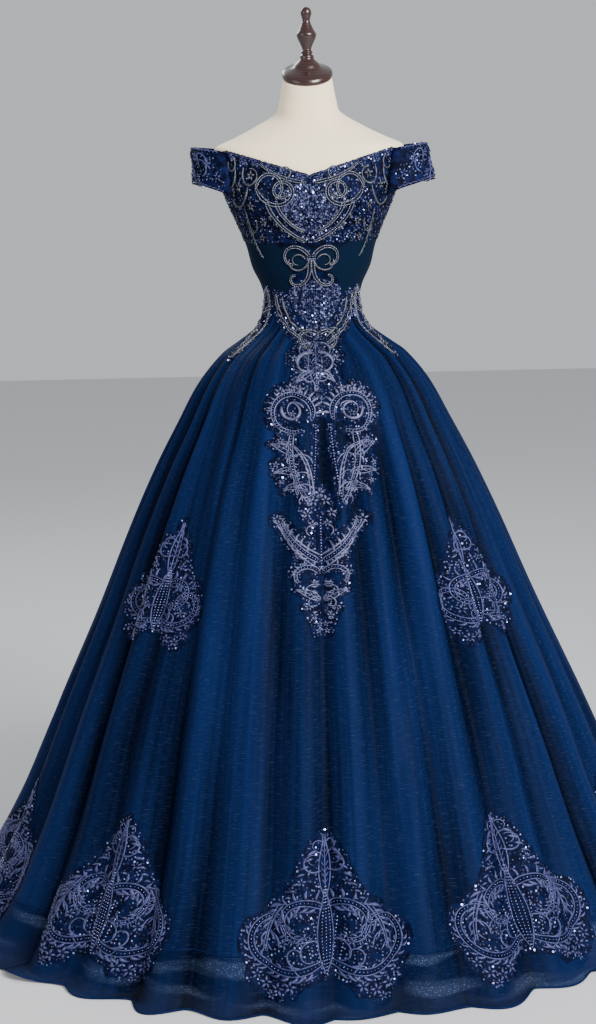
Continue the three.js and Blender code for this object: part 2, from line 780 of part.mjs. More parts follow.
// One side of the bust: the two cords that frame the middle, the scroll they hang from,
// the loop over it and the cord along the neckline
const bustScrolls = [
  scroll(70, 16, -88, 103, -68, 0.6, 7, 5),
  scroll(92, 37, -124, 176, -490, 1.8, 7, 11),
  scroll(54, 14, -88, 76, -66, 0.6, 6, 4),
  scroll(92, 36, 86, 100, 240, 1, 6, 6),
  scroll(5, 46, 8, 92, 30, 1, 6, 4),
];

// A butterfly of scrolls: two short lobes above on each side and a long one below
const midriffScrolls = bothSides([
  scroll(2, 2, 62, 86, -250, 1.4, 6, 6),
  scroll(3, -4, -84, 58, 190, 1.2, 5, 4),
  scroll(2, -2, -90, 92, 290, 2.7, 6, 6),
]);

const waistScrolls = bothSides([
  scroll(76, 14, -82, 114, -70, 0.6, 7, 5),
  scroll(60, 8, -84, 88, -64, 0.6, 5, 4),
  scroll(0, -60, 52, 62, -236, 1.2, 6, 5),
]);

// One hip piece: two cords that meet in a point, with a scroll inside
const hipScrolls = [
  scroll(0, 8, -92, 168, 8, 1, 7, 5),
  scroll(0, 6, -40, 172, -104, 1, 7, 6),
  scroll(2, -34, -80, 84, 265, 1.3, 6, 5),
];

const centreDrop = [
  leaf(0, 0, -90, 92, 0, 22, 3),
  ...bothSides([
    scroll(2, -20, 7, 66, -205, 1.3, 7, 4),
    leaf(2, -52, -24, 40, -24, 11, 2),
  ]),
];

// Where the sprays stand round the skirt; flat lace is shortened by the skirt's slope
const laceRise = 0.88;
const hemSprays = { z: 40, scale: 1.2, angles: [0, 33, 70, 106, 143, 178, -145, -110, -74, -38] };
const sideSprays = {
  z: 556,
  scale: 1.16,
  places: { front_left: -47, front_right: 47, back_left: -133, back_right: 133 },
};

function addSkirtLace() {
  const rise = laceRise;
  hemSprays.angles.forEach((angle, i) => {
    const place = { angle, z: hemSprays.z, rise, scale: hemSprays.scale };
    addLace("hem_lace_" + (i + 1), hemSpray, place);
  });
  for (const [name, angle] of Object.entries(sideSprays.places)) {
    const place = { angle, z: sideSprays.z, rise, scale: sideSprays.scale };
    addLace("side_lace_" + name, sideSpray, place);
  }
  addLace("centre_lace_left", centreLobe, { angle: -1.5, z: 962, rise, side: -1 });
  addLace("centre_lace_right", centreLobe, { angle: 8.5, z: 962, rise });
  addLace("lower_lace", lowerDrop, { angle: 1, z: 792, rise });
  addLace("centre_lace_drop", centreDrop, { angle: 1, z: 1060, rise });
}

function addBodiceLace() {
  for (const [name, side] of [["left", -1], ["right", 1]]) {
    addLace("bust_lace_" + name, bustScrolls, { angle: 0, z: 1302, side });
    addLace("hip_lace_" + name, hipScrolls, { angle: 60 * side, z: 1150, rise: 0.75, side });
  }
  addLace("midriff_lace", midriffScrolls, { angle: 0, z: 1213 });
  addLace("waist_lace", waistScrolls, { angle: 4, z: 1130 });
}

addForm();
addCap();
addStand();
addBodice();
addSleeves();
addSkirt();
addUnderskirt();
addSkirtLace();
addBodiceLace();

export default model;
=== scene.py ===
# A-line evening dress with an off-the-shoulder lace bodice and a full organza skirt,
# worn by a limbless dress form on a round stand.
# Sizes are in millimetres, as in the part's source; meshes turn them into metres.
# The front faces -Y. An angle is measured from the centre front towards +X, in degrees.
import math

import bmesh
import bpy
import numpy as np
from mathutils import Matrix, Vector


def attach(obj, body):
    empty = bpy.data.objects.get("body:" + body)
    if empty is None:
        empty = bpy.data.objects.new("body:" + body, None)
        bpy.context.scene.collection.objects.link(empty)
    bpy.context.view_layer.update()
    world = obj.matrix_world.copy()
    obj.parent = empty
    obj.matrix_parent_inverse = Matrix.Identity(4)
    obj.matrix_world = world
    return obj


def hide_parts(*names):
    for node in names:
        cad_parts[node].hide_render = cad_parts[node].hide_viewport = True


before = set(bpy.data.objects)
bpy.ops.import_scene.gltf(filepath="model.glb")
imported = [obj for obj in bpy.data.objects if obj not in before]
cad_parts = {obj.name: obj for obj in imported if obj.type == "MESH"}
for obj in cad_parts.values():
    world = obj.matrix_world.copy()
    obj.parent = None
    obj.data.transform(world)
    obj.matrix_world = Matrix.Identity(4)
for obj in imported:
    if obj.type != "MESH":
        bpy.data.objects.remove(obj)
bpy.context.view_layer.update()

METRE = 0.001
random = np.random.default_rng(7)


def table(columns, rows):
    """A table as one array for each named column."""
    return dict(zip(columns.split(), np.array(rows, float).T))


# Heights of the garment and the clearances between its layers, as in the part
WAIST_SEAM = 1120
NECK_POINT = 1360
BACK_NECK = 1378
SHOULDER_TIP = 1412
UNDERARM = 1336
SEAM_GAP = 0.3
BODICE_WALL = 1.6
BODICE_EASE = 3.8
FORM_CLEARANCE = 1.2
SLEEVE_WALL = 1.8
SIDE_SEAM = 81
ZIP_HALF_ANGLE = 2.2

# The body at the outside of the bodice: half width, half depth, how far its centre lies
# behind the pole, and how steeply its rings dip towards the front
FIGURE = table("z half_width half_depth back lean", [
    (900, 148, 110, 0, 0),
    (960, 144, 108, 0, 0),
    (1010, 124, 96, 0, 0),
    (1060, 95, 80, 0, 0),
    (1100, 88, 75, 0, 0),
    (1133, 88.8, 75, 0, 0),
    (1160, 95, 79, 0, 0),
    (1192, 110, 87, 0, 0),
    (1231, 120, 94, -1, 0),
    (1268, 134, 102, -3, 0),
    (1300, 148, 108, -4, 0),
    (1325, 158, 109, -4, 0),
    (1355, 166, 105, -2, 0),
    (1385, 171, 97, 2, 0),
    (1412, 175.6, 86, 7, 0),
    (1428, 141.3, 79, 10, 0.06),
    (1447, 101.5, 70, 12, 0.14),
    (1470, 61.6, 60, 12, 0.24),
    (1493, 52.9, 53, 9, 0.32),
    (1537, 45, 45, 4, 0.38),
])
FIGURE_SQUARENESS = 2.2
BUST = {"z": 1316, "angle": 33, "height": 13, "spread_z": 34, "spread_angle": 19}

# The skirt's mean half width by height, and how far its folds stand in and out
SKIRT = table("z radius", [
    (0, 683),
    (206, 570),
    (391, 487),
    (566, 408),
    (721, 342),
    (824, 294.5),
    (906, 252),
    (978, 213),
    (1030, 171),
    (1052, 141),
    (1076, 109),
    (1092, 96.5),
    (1107, 91.5),
    (1120, 89.3),
])
FOLD_HEIGHT = table("z swing", [
    (0, 14),
    (300, 13.5),
    (600, 11.5),
    (850, 8.5),
    (1000, 4.5),
    (1076, 1.8),
    (1120, 0.5),
])
WAIST_DEPTH_SHARE = 0.86
ROUND_SKIRT_BELOW = 900
FOLD_SIDE_DRIFT = 10

# Folds round the hem from the centre back, by way of the left side, front and right side
FOLDS = table("width valley crest", [
    (14, 0.9, 0.9), (12, 1.1, 1.0), (13.5, 0.8, 0.8), (11.5, 1.2, 1.1), (14.5, 0.9, 0.9),
    (12, 1.0, 1.1), (13, 1.2, 0.8), (13.5, 0.8, 1.0), (12, 1.1, 1.0), (13, 0.9, 0.9),
    (11, 1.0, 1.1), (11.4, 0.8, 0.8), (8.6, 1.6, 0.9), (11.2, 0.6, 1.0), (9.8, 1.0, 0.7),
    (9, 1.5, 0.7), (10, 1.1, 1.0), (11, 0.7, 1.1), (10.5, 1.2, 0.9), (10.5, 0.9, 1.0),
    (12, 1.4, 0.9), (12, 0.8, 1.1), (12.5, 1.1, 0.9), (14, 0.9, 1.0), (12, 1.2, 0.8),
    (13.5, 0.8, 1.1), (13, 1.0, 0.9), (12, 1.2, 1.0), (14, 0.9, 0.8), (14.5, 1.1, 1.0),
])
GORES = [
    ("skirt_back_left", 0, 5),
    ("skirt_side_left", 5, 10),
    ("skirt_front", 10, 20),
    ("skirt_side_right", 20, 25),
    ("skirt_back_right", 25, 30),
]

# Main creases of the skirt: hem angle and height of each end, depth in or out, half width
CREASES = table("top_angle top_z foot_angle foot_z depth width", [
    (-36, 1010, -30, 90, -11, 26),
    (-31, 980, -23, 420, 6, 24),
    (-16, 1040, -8, 470, -5, 10),
    (-17, 900, -15, 500, 3, 12),
    (-25, 1060, -21, 700, -4, 8),
    (6.5, 1050, 3, 720, -12, 14),
    (24, 1030, 11, 120, -8, 16),
    (15, 1060, 17, 780, -4, 8),
    (29, 960, 23, 420, 6, 20),
    (36, 1050, 39, 640, -5, 9),
    (40, 930, 34, 380, 4, 9),
    (44, 860, 52, 250, -8, 20),
    (68, 860, 61, 330, 5, 24),
    (-46, 1050, -54, 500, -6, 14),
    (-60, 1030, -67, 380, -7, 18),
    (-52, 700, -58, 120, 6, 26),
    (58, 1040, 60, 500, -5, 10),
    (81, 1020, 85, 380, -7, 16),
    (-79, 1030, -84, 300, -6, 16),
    (-100, 1020, -97, 420, -6, 14),
    (-118, 1040, -121, 260, -8, 20),
    (-133, 1030, -135, 560, -4, 9),
    (-147, 1040, -144, 330, 5, 20),
    (-159, 1050, -163, 120, -9, 18),
    (-172, 1040, -171, 600, -4, 10),
    (104, 1040, 101, 300, -7, 18),
    (121, 1030, 117, 600, 4, 14),
    (131, 1050, 134, 140, -8, 20),
    (149, 1040, 152, 480, -5, 11),
    (162, 1040, 159, 260, -8, 17),
    (174, 1050, 176, 420, -5, 12),
])

HEM_BAND = 84
FLOOR_LENGTH = 26
HEM_CURL = {"angle": -53, "half_width": 9, "reach": 1.3, "lift": 0.55}

# The cloth as it is drawn, thinner than the part's walls: walls, the lower edge of the
# bodice's lace, the underskirt's ends and how far it keeps inside the skirt, and sequins
ORGANZA_WALL = 0.8
SATIN_WALL = 1.2
LACE_LINE = 1236
UNDERSKIRT = {"foot": 72, "top": 1100, "swing_share": 1.8, "inset": 4.5}
SEQUIN = 1.7

# Radii at which the cloth's flat coordinates are measured, and a sleeve's metres a degree
BODICE_RADIUS = 0.13
SKIRT_RADIUS = 0.45
SLEEVE_RUN = 0.0034


# Small helpers


def radians(angle):
    return np.asarray(angle, float) * (math.pi / 180)


def smooth(value, low, high):
    share = np.clip((np.asarray(value, float) - low) / (high - low), 0, 1)
    return share * share * (3 - 2 * share)


def read(rows, column, z):
    """A column of a table read at height z along a smooth curve through its rows."""
    heights, values = rows["z"], rows[column]
    slopes = np.empty(len(values))
    slopes[1:-1] = (values[2:] - values[:-2]) / (heights[2:] - heights[:-2])
    slopes[0] = (values[1] - values[0]) / (heights[1] - heights[0])
    slopes[-1] = (values[-1] - values[-2]) / (heights[-1] - heights[-2])
    z = np.clip(z, heights[0], heights[-1])
    i = np.clip(np.searchsorted(heights, z, side="right") - 1, 0, len(heights) - 2)
    span = heights[i + 1] - heights[i]
    t = (z - heights[i]) / span
    return (
        values[i] * (1 + 2 * t) * (1 - t) ** 2
        + values[i + 1] * t * t * (3 - 2 * t)
        + span * t * (1 - t) * (slopes[i] * (1 - t) - slopes[i + 1] * t)
    )


def unit(vectors):
    return vectors / np.maximum(np.linalg.norm(vectors, axis=-1, keepdims=True), 1e-9)


# Surfaces of the gown


def oval_point(angle, half_width, half_depth, squareness, out, z):
    sine, cosine = np.sin(radians(angle)), np.cos(radians(angle))
    power = 2 / squareness
    x = np.sign(sine) * np.abs(sine) ** power * half_width + out * sine
    y = -np.sign(cosine) * np.abs(cosine) ** power * half_depth - out * cosine
    return np.stack(np.broadcast_arrays(x, y, z + 0.0 * x), axis=-1)


def figure_point(angle, z, out):
    angle, z = np.broadcast_arrays(np.asarray(angle, float), np.asarray(z, float))
    side = (np.abs(angle) - BUST["angle"]) / BUST["spread_angle"]
    level = (z - BUST["z"]) / BUST["spread_z"]
    mound = BUST["height"] * np.exp(-side * side - level * level)
    width, depth = read(FIGURE, "half_width", z), read(FIGURE, "half_depth", z)
    point = oval_point(angle, width, depth, FIGURE_SQUARENESS, out + mound, z)
    point[..., 2] += read(FIGURE, "lean", z) * point[..., 1]
    point[..., 1] += read(FIGURE, "back", z)
    return point


def bodice_top(angle):
    turn = 180 - np.abs(180 - np.abs(np.asarray(angle, float)))
    across = np.minimum(1, np.sin(radians(turn)) ** 0.95 * 1.04)
    lowest = np.where(turn < 90, NECK_POINT, BACK_NECK)
    neckline = lowest + (SHOULDER_TIP - lowest) * across
    armhole = smooth(np.abs(turn - 90), 8, 30)
    return UNDERARM + (neckline - UNDERARM) * armhole


FOLD_STARTS = -180 + np.concatenate([[0], np.cumsum(FOLDS["width"])])


def fold_shape(angle):
    """How far the folds stand in or out at a hem angle, in shares of the swing."""
    turn = (np.asarray(angle, float) + 180) % 360 - 180
    count = len(FOLDS["width"])
    i = np.clip(np.searchsorted(FOLD_STARTS, turn, side="right") - 1, 0, count - 1)
    share = (turn - FOLD_STARTS[i]) / (FOLD_STARTS[i + 1] - FOLD_STARTS[i])
    valley, following = FOLDS["valley"][i], FOLDS["valley"][(i + 1) % count]
    depth = valley + (following - valley) * smooth(share, 0, 1)
    rise = np.sin(math.pi * np.clip(share, 0, 1)) ** 1.2
    return FOLDS["crest"][i] * rise - 1.12 * depth * (1 - rise)


def crease_depth(angle, z):
    """The main creases, in millimetres in or out of the folds."""
    total = np.zeros(np.broadcast(angle, z).shape)
    radius = read(SKIRT, "radius", z)
    for row in zip(*CREASES.values()):
        top_angle, top_z, foot_angle, foot_z, depth, width = row
        share = (top_z - z) / (top_z - foot_z)
        line = top_angle + (foot_angle - top_angle) * np.clip(share, 0, 1)
        away = (angle - line + 180) % 360 - 180
        half_width = width * (0.45 + 0.55 * smooth(share, 0, 0.5))
        across = radians(away) * radius / half_width
        ends = smooth(share, -0.05, 0.22) * (1 - smooth(share, 0.72, 1.12))
        total += depth * np.exp(-across * across) * ends
    return total


def gathers(angle, z):
    """Fine pleats where the skirt is gathered into the waist, fading below the hips."""
    waves = (
        np.cos(radians(47 * angle + 40)) * 0.6
        + np.cos(radians(71 * angle - 25)) * 0.5
        + np.cos(radians(29 * angle + 100)) * 0.5
    )
    return 2.0 * waves * smooth(z, 700, 1030) * (1 - 0.6 * smooth(z, 1085, 1118))


def hem_waves(angle, z):
    """The loose edge of the organza, which ripples near the floor."""
    near = 1 - smooth(z, 0, 150)
    waves = np.cos(radians(17 * angle)) + 0.7 * np.cos(radians(31 * angle + 60))
    return near * near * (5 * waves + 5)


def skirt_swing(angle, z):
    height = read(FOLD_HEIGHT, "swing", z)
    soft = 0.8 - 0.25 * np.cos(radians(3 * angle + 70)) * smooth(z, 150, 600)
    swing = fold_shape(angle) * height * soft + crease_depth(angle, z) + gathers(angle, z)
    deepest = -1.7 * height - 4
    return np.maximum(swing, deepest + 0.25 * (swing - deepest)) + hem_waves(angle, z)


def skirt_oval(angle, z, out):
    radius = read(SKIRT, "radius", z)
    roundness = 1 - smooth(z, ROUND_SKIRT_BELOW, WAIST_SEAM)
    half_depth = radius * (WAIST_DEPTH_SHARE + (1 - WAIST_DEPTH_SHARE) * roundness)
    squareness = FIGURE_SQUARENESS + (2 - FIGURE_SQUARENESS) * roundness
    return oval_point(angle, radius, half_depth, squareness, out, z)


def skirt_point(hem_angle, z, out):
    """A point of the skirt by its angle at the hem: folds stand further round higher up."""
    angle = hem_angle + FOLD_SIDE_DRIFT * np.sin(radians(2 * hem_angle)) * (z / WAIST_SEAM)
    return skirt_oval(angle, z, skirt_swing(hem_angle, z) + out)


def gown_point(angle, z, out):
    """A point of the gown at any angle and height: bodice above the waist, skirt below."""
    angle, z = np.broadcast_arrays(np.asarray(angle, float), np.asarray(z, float))
    points = np.empty(angle.shape + (3,))
    above = z > WAIST_SEAM
    points[above] = figure_point(angle[above], z[above], out)
    turn, level = angle[~above], z[~above]
    hem_angle = turn
    for _ in range(8):
        drift = FOLD_SIDE_DRIFT * np.sin(radians(2 * hem_angle))
        hem_angle = turn - drift * (level / WAIST_SEAM)
    points[~above] = skirt_point(hem_angle, level, out)
    return points


# Meshes


def grid_faces(columns, rows):
    """Faces of a sheet of points, which are kept column by column."""
    faces = []
    for i in range(columns - 1):
        for j in range(rows - 1):
            a, b = i * rows + j, (i + 1) * rows + j
            faces.append((a, b, b + 1, a + 1))
    return faces


def tube_faces(rings, sides, closed=False):
    """Faces between rings of points, and back to the first ring where the tube is closed."""
    faces = []
    for i in range(rings if closed else rings - 1):
        step = (i + 1) % rings * sides - i * sides
        for k in range(sides):
            a, b = i * sides + k, i * sides + (k + 1) % sides
            faces.append((a, b, b + step, a + step))
    return faces


def rings_round(centre, first, second, radius, sides):
    """A ring of points round each centre, from first and turning towards second."""
    turn = np.linspace(0, 2 * math.pi, sides, endpoint=False)[None, :, None]
    around = first[:, None] * np.cos(turn) + second[:, None] * np.sin(turn)
    return centre[:, None] + np.reshape(radius, (-1, 1, 1)) * around


def mesh_object(name, points, faces, materials, slots=None, uv=None, values=None):
    """An object of points in millimetres; uv is in metres and values are named per point."""
    mesh = bpy.data.meshes.new(name)
    points = np.asarray(points, float).reshape(-1, 3)
    mesh.from_pydata((points * METRE).tolist(), [], faces)
    for material in materials:
        mesh.materials.append(material)
    if slots is not None:
        mesh.polygons.foreach_set("material_index", np.asarray(slots, np.int32))
    if uv is not None:
        corners = np.empty(len(mesh.loops), np.int32)
        mesh.loops.foreach_get("vertex_index", corners)
        layer = mesh.uv_layers.new(name="cloth")
        flat = np.asarray(uv, np.float32).reshape(-1, 2)[corners]
        layer.data.foreach_set("uv", flat.ravel())
    for key, column in (values or {}).items():
        attribute = mesh.attributes.new(key, "FLOAT", "POINT")
        attribute.data.foreach_set("value", np.asarray(column, np.float32).ravel())
    mesh.polygons.foreach_set("use_smooth", np.ones(len(mesh.polygons), bool))
    mesh.update()
    piece = bpy.data.objects.new(name, mesh)
    bpy.context.scene.collection.objects.link(piece)
    return piece


def facing_out(piece):
    body = bmesh.new()
    body.from_mesh(piece.data)
    bmesh.ops.recalc_face_normals(body, faces=body.faces)
    body.to_mesh(piece.data)
    body.free()


def placed(piece, slot, *nodes):
    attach(piece, "root")
    if nodes:
        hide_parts(*nodes)
    return piece


def flat_place(angle, radius, along):
    """The cloth's flat coordinates in metres: round at a radius, and along the cloth."""
    return np.stack(np.broadcast_arrays(radians(angle) * radius, along), axis=-1)


def panel(name, node, points, material, slot, wall, uv, values=None, flipped=False):
    """A sheet through columns of points, with a wall inwards, in place of a solid."""
    faces = grid_faces(*points.shape[:2])
    if flipped:
        faces = [face[::-1] for face in faces]
    piece = mesh_object(name, points, faces, [material], uv=uv, values=values)
    placed(piece, slot, node)
    modifier = piece.modifiers.new("wall", "SOLIDIFY")
    modifier.thickness = wall * METRE
    modifier.offset = -1
    return piece


# Materials


class Finish:
    """A procedural material, with short ways to add and join its nodes."""

    def __init__(self, name, **sockets):
        self.material = bpy.data.materials.new(name)
        self.material.use_nodes = True
        self.tree = self.material.node_tree
        self.shader = self.tree.nodes["Principled BSDF"]
        for key, value in sockets.items():
            self.shader.inputs[key.replace("_", " ")].default_value = value

    def join(self, source, target):
        self.tree.links.new(source, target)

    def add(self, kind, inputs=None, **settings):
        node = self.tree.nodes.new(kind)
        for key, value in settings.items():
            setattr(node, key, value)
        for key, value in (inputs or {}).items():
            if isinstance(value, bpy.types.NodeSocket):
                self.join(value, node.inputs[key])
            else:
                node.inputs[key].default_value = value
        return node

    def value(self, name):
        return self.add("ShaderNodeAttribute", attribute_name=name).outputs["Fac"]

    def cloth(self, across, along):
        """The flat cloth's own coordinates, stretched across and along it."""
        flat = self.add("ShaderNodeUVMap", uv_map="cloth").outputs["UV"]
        scale = {"Vector": flat, "Scale": (across, along, 1)}
        return self.add("ShaderNodeMapping", scale).outputs["Vector"]

    def space(self, scale):
        place = self.add("ShaderNodeTexCoord").outputs["Object"]
        inputs = {"Vector": place, "Scale": (scale, scale, scale)}
        return self.add("ShaderNodeMapping", inputs).outputs["Vector"]

    def noise(self, where, detail=2.0, rough=0.5):
        inputs = {"Vector": where, "Scale": 1.0, "Detail": detail, "Roughness": rough}
        return self.add("ShaderNodeTexNoise", inputs).outputs["Fac"]

    def cells(self, where):
        inputs = {"Vector": where, "Scale": 1.0}
        return self.add("ShaderNodeTexVoronoi", inputs).outputs["Distance"]

    def math(self, operation, first, second=0.0, third=0.0):
        inputs = {0: first, 1: second, 2: third}
        return self.add("ShaderNodeMath", inputs, operation=operation).outputs[0]

    def spread(self, value, low, high, start=0.0, end=1.0):
        inputs = {0: value, 1: low, 2: high, 3: start, 4: end}
        return self.add("ShaderNodeMapRange", inputs).outputs[0]

    def blend(self, share, first, second):
        inputs = {0: share, 6: first, 7: second}
        return self.add("ShaderNodeMix", inputs, data_type="RGBA").outputs[2]

    def colour(self, value):
        self.join(value, self.shader.inputs["Base Color"])

    def roughness(self, value):
        self.join(value, self.shader.inputs["Roughness"])

    def alpha(self, value):
        self.join(value, self.shader.inputs["Alpha"])

    def bump(self, height, distance, strength=1.0):
        """Raises the surface by a height from 0 to 1, at most by distance in millimetres."""
        inputs = {"Height": height, "Distance": distance * METRE, "Strength": strength}
        raised = self.add("ShaderNodeBump", inputs)
        self.join(raised.outputs["Normal"], self.shader.inputs["Normal"])


def shade(red, green, blue):
    """A colour of the screen, 0 to 255, as the linear colour that nodes use."""
    parts = [value / 255 for value in (red, green, blue)]
    linear = [p / 12.92 if p <= 0.04045 else ((p + 0.055) / 1.055) ** 2.4 for p in parts]
    return (*linear, 1.0)


def organza_finish():
    """Sheer cloth with painted light: painted shade in its valleys and light on its crests,
    painted sheen streaks, a crosswise shimmer of painted glints, and a band with painted glitter
    sparkle.
    """
    finish = Finish("organza", Specular_IOR_Level=0.015)
    sheen_streaks = finish.noise(finish.cloth(120, 1.6), 4.0, 0.6)
    clouds = finish.noise(finish.cloth(7, 1.1), 2.0)
    threads = finish.noise(finish.cloth(75, 560), 2.0, 0.75)
    patches = finish.noise(finish.cloth(7, 26), 2.0)
    spots = finish.cells(finish.space(330))
    # Painted shade and sheen: the colour is darker in the fold valleys and lighter on the crests,
    # with painted sheen in long streaks and cloudy patches.
    fold_shade = finish.spread(finish.value("fold_shade"), -0.1, 1.15)
    height = finish.math("MULTIPLY_ADD", finish.math("SUBTRACT", sheen_streaks, 0.5), 1.1, fold_shade)
    height = finish.math("MULTIPLY_ADD", finish.math("SUBTRACT", clouds, 0.5), 1.9, height)
    depth = finish.blend(finish.spread(height, 0.05, 0.95), shade(2, 7, 25), shade(15, 30, 69))
    # Painted glints: bright ticks along the threads, and spots of painted glitter sparkle in the
    # hem band.
    glint = finish.spread(threads, 0.56, 0.8)
    band = finish.value("veil")
    sparkle_patches = finish.math("MULTIPLY", band, finish.spread(patches, 0.54, 0.66))
    glitter_glints = finish.math("MULTIPLY", sparkle_patches, finish.spread(spots, 0.32, 0.12, 0.12, 1.0))
    lit = finish.math("MAXIMUM", finish.math("MULTIPLY", glint, 0.15), glitter_glints)
    finish.colour(finish.blend(lit, depth, shade(96, 114, 152)))
    finish.roughness(finish.spread(threads, 0.3, 0.7, 0.42, 0.62))
    finish.alpha(finish.spread(band, 0.0, 1.0, 1.0, 0.7))
    finish.bump(threads, 0.35, 0.5)
    return finish.material


def satin_finish():
    finish = Finish("satin", Roughness=0.34, Sheen_Weight=0.1, Specular_IOR_Level=0.25)
    clouds = finish.noise(finish.cloth(10, 3), 2.0)
    finish.colour(finish.blend(clouds, shade(5, 18, 47), shade(10, 31, 72)))
    finish.bump(finish.noise(finish.cloth(900, 60), 1.0), 0.2, 0.3)
    return finish.material


def net_finish(name, dark, light, plain=None):
    """A dark lace ground: a fine net with denser flowers, plain where "lace" is 0."""
    finish = Finish(name, Roughness=0.6, Specular_IOR_Level=0.03)
    net = finish.cells(finish.space(620))
    flowers = finish.noise(finish.space(75), 3.0, 0.6)
    dense = finish.spread(flowers, 0.42, 0.62)
    colour = finish.blend(finish.math("MULTIPLY", dense, 0.8), dark, light)
    height = finish.math("MULTIPLY_ADD", dense, 0.6, finish.math("MULTIPLY", net, 0.4))
    if plain:
        lace = finish.value("lace")
        colour = finish.blend(lace, plain, colour)
        height = finish.math("MULTIPLY", height, finish.spread(lace, 0, 1, 0.15, 1))
    finish.colour(colour)
    finish.bump(height, 0.8, 0.7)
    return finish.material


def cord_finish(name, dark, light, pitch, metal):
    """Embroidered cord: threads laid side by side across it, with painted highlight on each
    thread and painted shade between them, uneven in tone.
    """
    finish = Finish(name, Roughness=0.38, Metallic=metal)
    turns = finish.math("MULTIPLY", finish.value("stitch"), 2 * math.pi / pitch)
    stitches = finish.spread(finish.math("SINE", turns), -1, 1)
    tone = finish.noise(finish.space(110), 2.0)
    # Painted shade and highlight: dark between the threads and light on them, varied at random by
    # the tone noise.
    share = finish.math("MULTIPLY_ADD", stitches, 0.35, finish.spread(tone, 0.3, 0.66, 0, 0.75))
    finish.colour(finish.blend(share, dark, light))
    finish.bump(stitches, 0.4, 0.6)
    return finish.material


def sequin_finish(name, dark, light):
    finish = Finish(name, Roughness=0.22, Metallic=0.75)
    finish.colour(finish.blend(finish.value("shade"), dark, light))
    finish.roughness(finish.spread(finish.value("shade"), 0, 1, 0.45, 0.18))
    return finish.material


def jersey_finish():
    finish = Finish("jersey", Roughness=0.85, Sheen_Weight=0.25, Sheen_Roughness=0.6)
    knit = finish.noise(finish.space(900), 1.0)
    tone = finish.noise(finish.space(9), 2.0)
    finish.colour(finish.blend(tone, shade(255, 231, 192), shade(255, 240, 206)))
    finish.bump(knit, 0.25, 0.4)
    return finish.material


def wood_finish():
    finish = Finish("dark_wood", Roughness=0.3, Coat_Weight=0.45, Coat_Roughness=0.1)
    inputs = {"Vector": finish.space(60), "Scale": 1.0, "Distortion": 2.5, "Detail": 3.0}
    grain = finish.add("ShaderNodeTexWave", inputs, bands_direction="Z").outputs["Fac"]
    fine = finish.noise(finish.space(220), 3.0)
    share = finish.math("MULTIPLY_ADD", fine, 0.4, finish.math("MULTIPLY", grain, 0.6))
    finish.colour(finish.blend(share, shade(16, 5, 4), shade(56, 22, 13)))
    finish.bump(fine, 0.15, 0.3)
    return finish.material


def steel_finish():
    finish = Finish("steel", Metallic=0.9)
    brushed = finish.noise(finish.space(300), 2.0)
    finish.colour(finish.blend(brushed, shade(110, 110, 114), shade(160, 160, 165)))
    finish.roughness(finish.spread(brushed, 0.3, 0.7, 0.3, 0.45))
    return finish.material


organza = organza_finish()
satin = satin_finish()
bodice_net = net_finish("bodice_lace", shade(4, 7, 23), shade(18, 25, 67), shade(6, 22, 41))
lace_ground = net_finish("lace_ground", shade(4, 8, 31), shade(12, 22, 59))
lilac_cord = cord_finish("lilac_cord", shade(14, 18, 54), shade(70, 75, 124), 1.8, 0.3)
pale_cord = cord_finish("pale_cord", shade(31, 34, 68), shade(112, 115, 151), 1.8, 0.35)
silver_cord = cord_finish("silver_cord", shade(29, 33, 46), shade(96, 98, 105), 2.4, 0.45)
sequins = sequin_finish("sequins", shade(10, 15, 52), shade(126, 134, 179))
beads = sequin_finish("beads", shade(62, 66, 82), shade(138, 142, 158))
blue_beads = sequin_finish("blue_beads", shade(36, 41, 83), shade(119, 126, 169))
jersey = jersey_finish()
dark_wood = wood_finish()
steel = steel_finish()


# Dress form


def lofted(name, rings, material, slot, node):
    """A closed body through rings of points, with flat ends, in place of a solid."""
    count, sides = rings.shape[:2]
    faces = tube_faces(count, sides)
    faces.append(tuple(range(sides - 1, -1, -1)))
    faces.append(tuple(range((count - 1) * sides, count * sides)))
    placed(mesh_object(name, rings, faces, [material]), slot, node)


def build_form():
    levels = np.concatenate([np.linspace(900, 1380, 60), np.linspace(1384, 1537, 48)])
    angle, z = np.meshgrid(np.linspace(-180, 180, 128, endpoint=False), levels)
    covered = 1 - smooth(z, 1390, 1428)
    ease = BODICE_EASE * (1 - smooth(z, 1345, 1395))
    rings = figure_point(angle, z, -(BODICE_WALL + FORM_CLEARANCE) * covered - ease)
    lofted("form_jersey", rings, jersey, "jersey", "form_torso")


CAP = table("z radius", [
    (1537, 44.5),
    (1540, 46.5),
    (1546, 46.5),
    (1550, 43),
    (1556, 27),
    (1562, 22),
    (1570, 13.5),
    (1576, 12.5),
    (1579, 9),
    (1582, 11),
    (1587, 8.3),
    (1597, 12),
    (1609, 17.5),
    (1615, 18),
    (1624, 13),
    (1637, 7.4),
    (1642, 7.4),
    (1653, 10),
    (1661.5, 6.5),
    (1664, 0.4),
])

STAND_FOOT = table("z radius", [
    (0, 146), (2, 150), (12, 150), (16, 148), (19, 136),
    (21, 100), (23, 60), (23.6, 25), (24, 13),
])


def turned(levels, radii, sides):
    """Rings of points of a body turned on a lathe."""
    turns = np.linspace(0, 2 * math.pi, sides, endpoint=False)
    radius, turn = np.meshgrid(radii, turns, indexing="ij")
    height = np.repeat(levels[:, None], sides, axis=1)
    return np.stack([radius * np.cos(turn), radius * np.sin(turn), height], axis=-1)


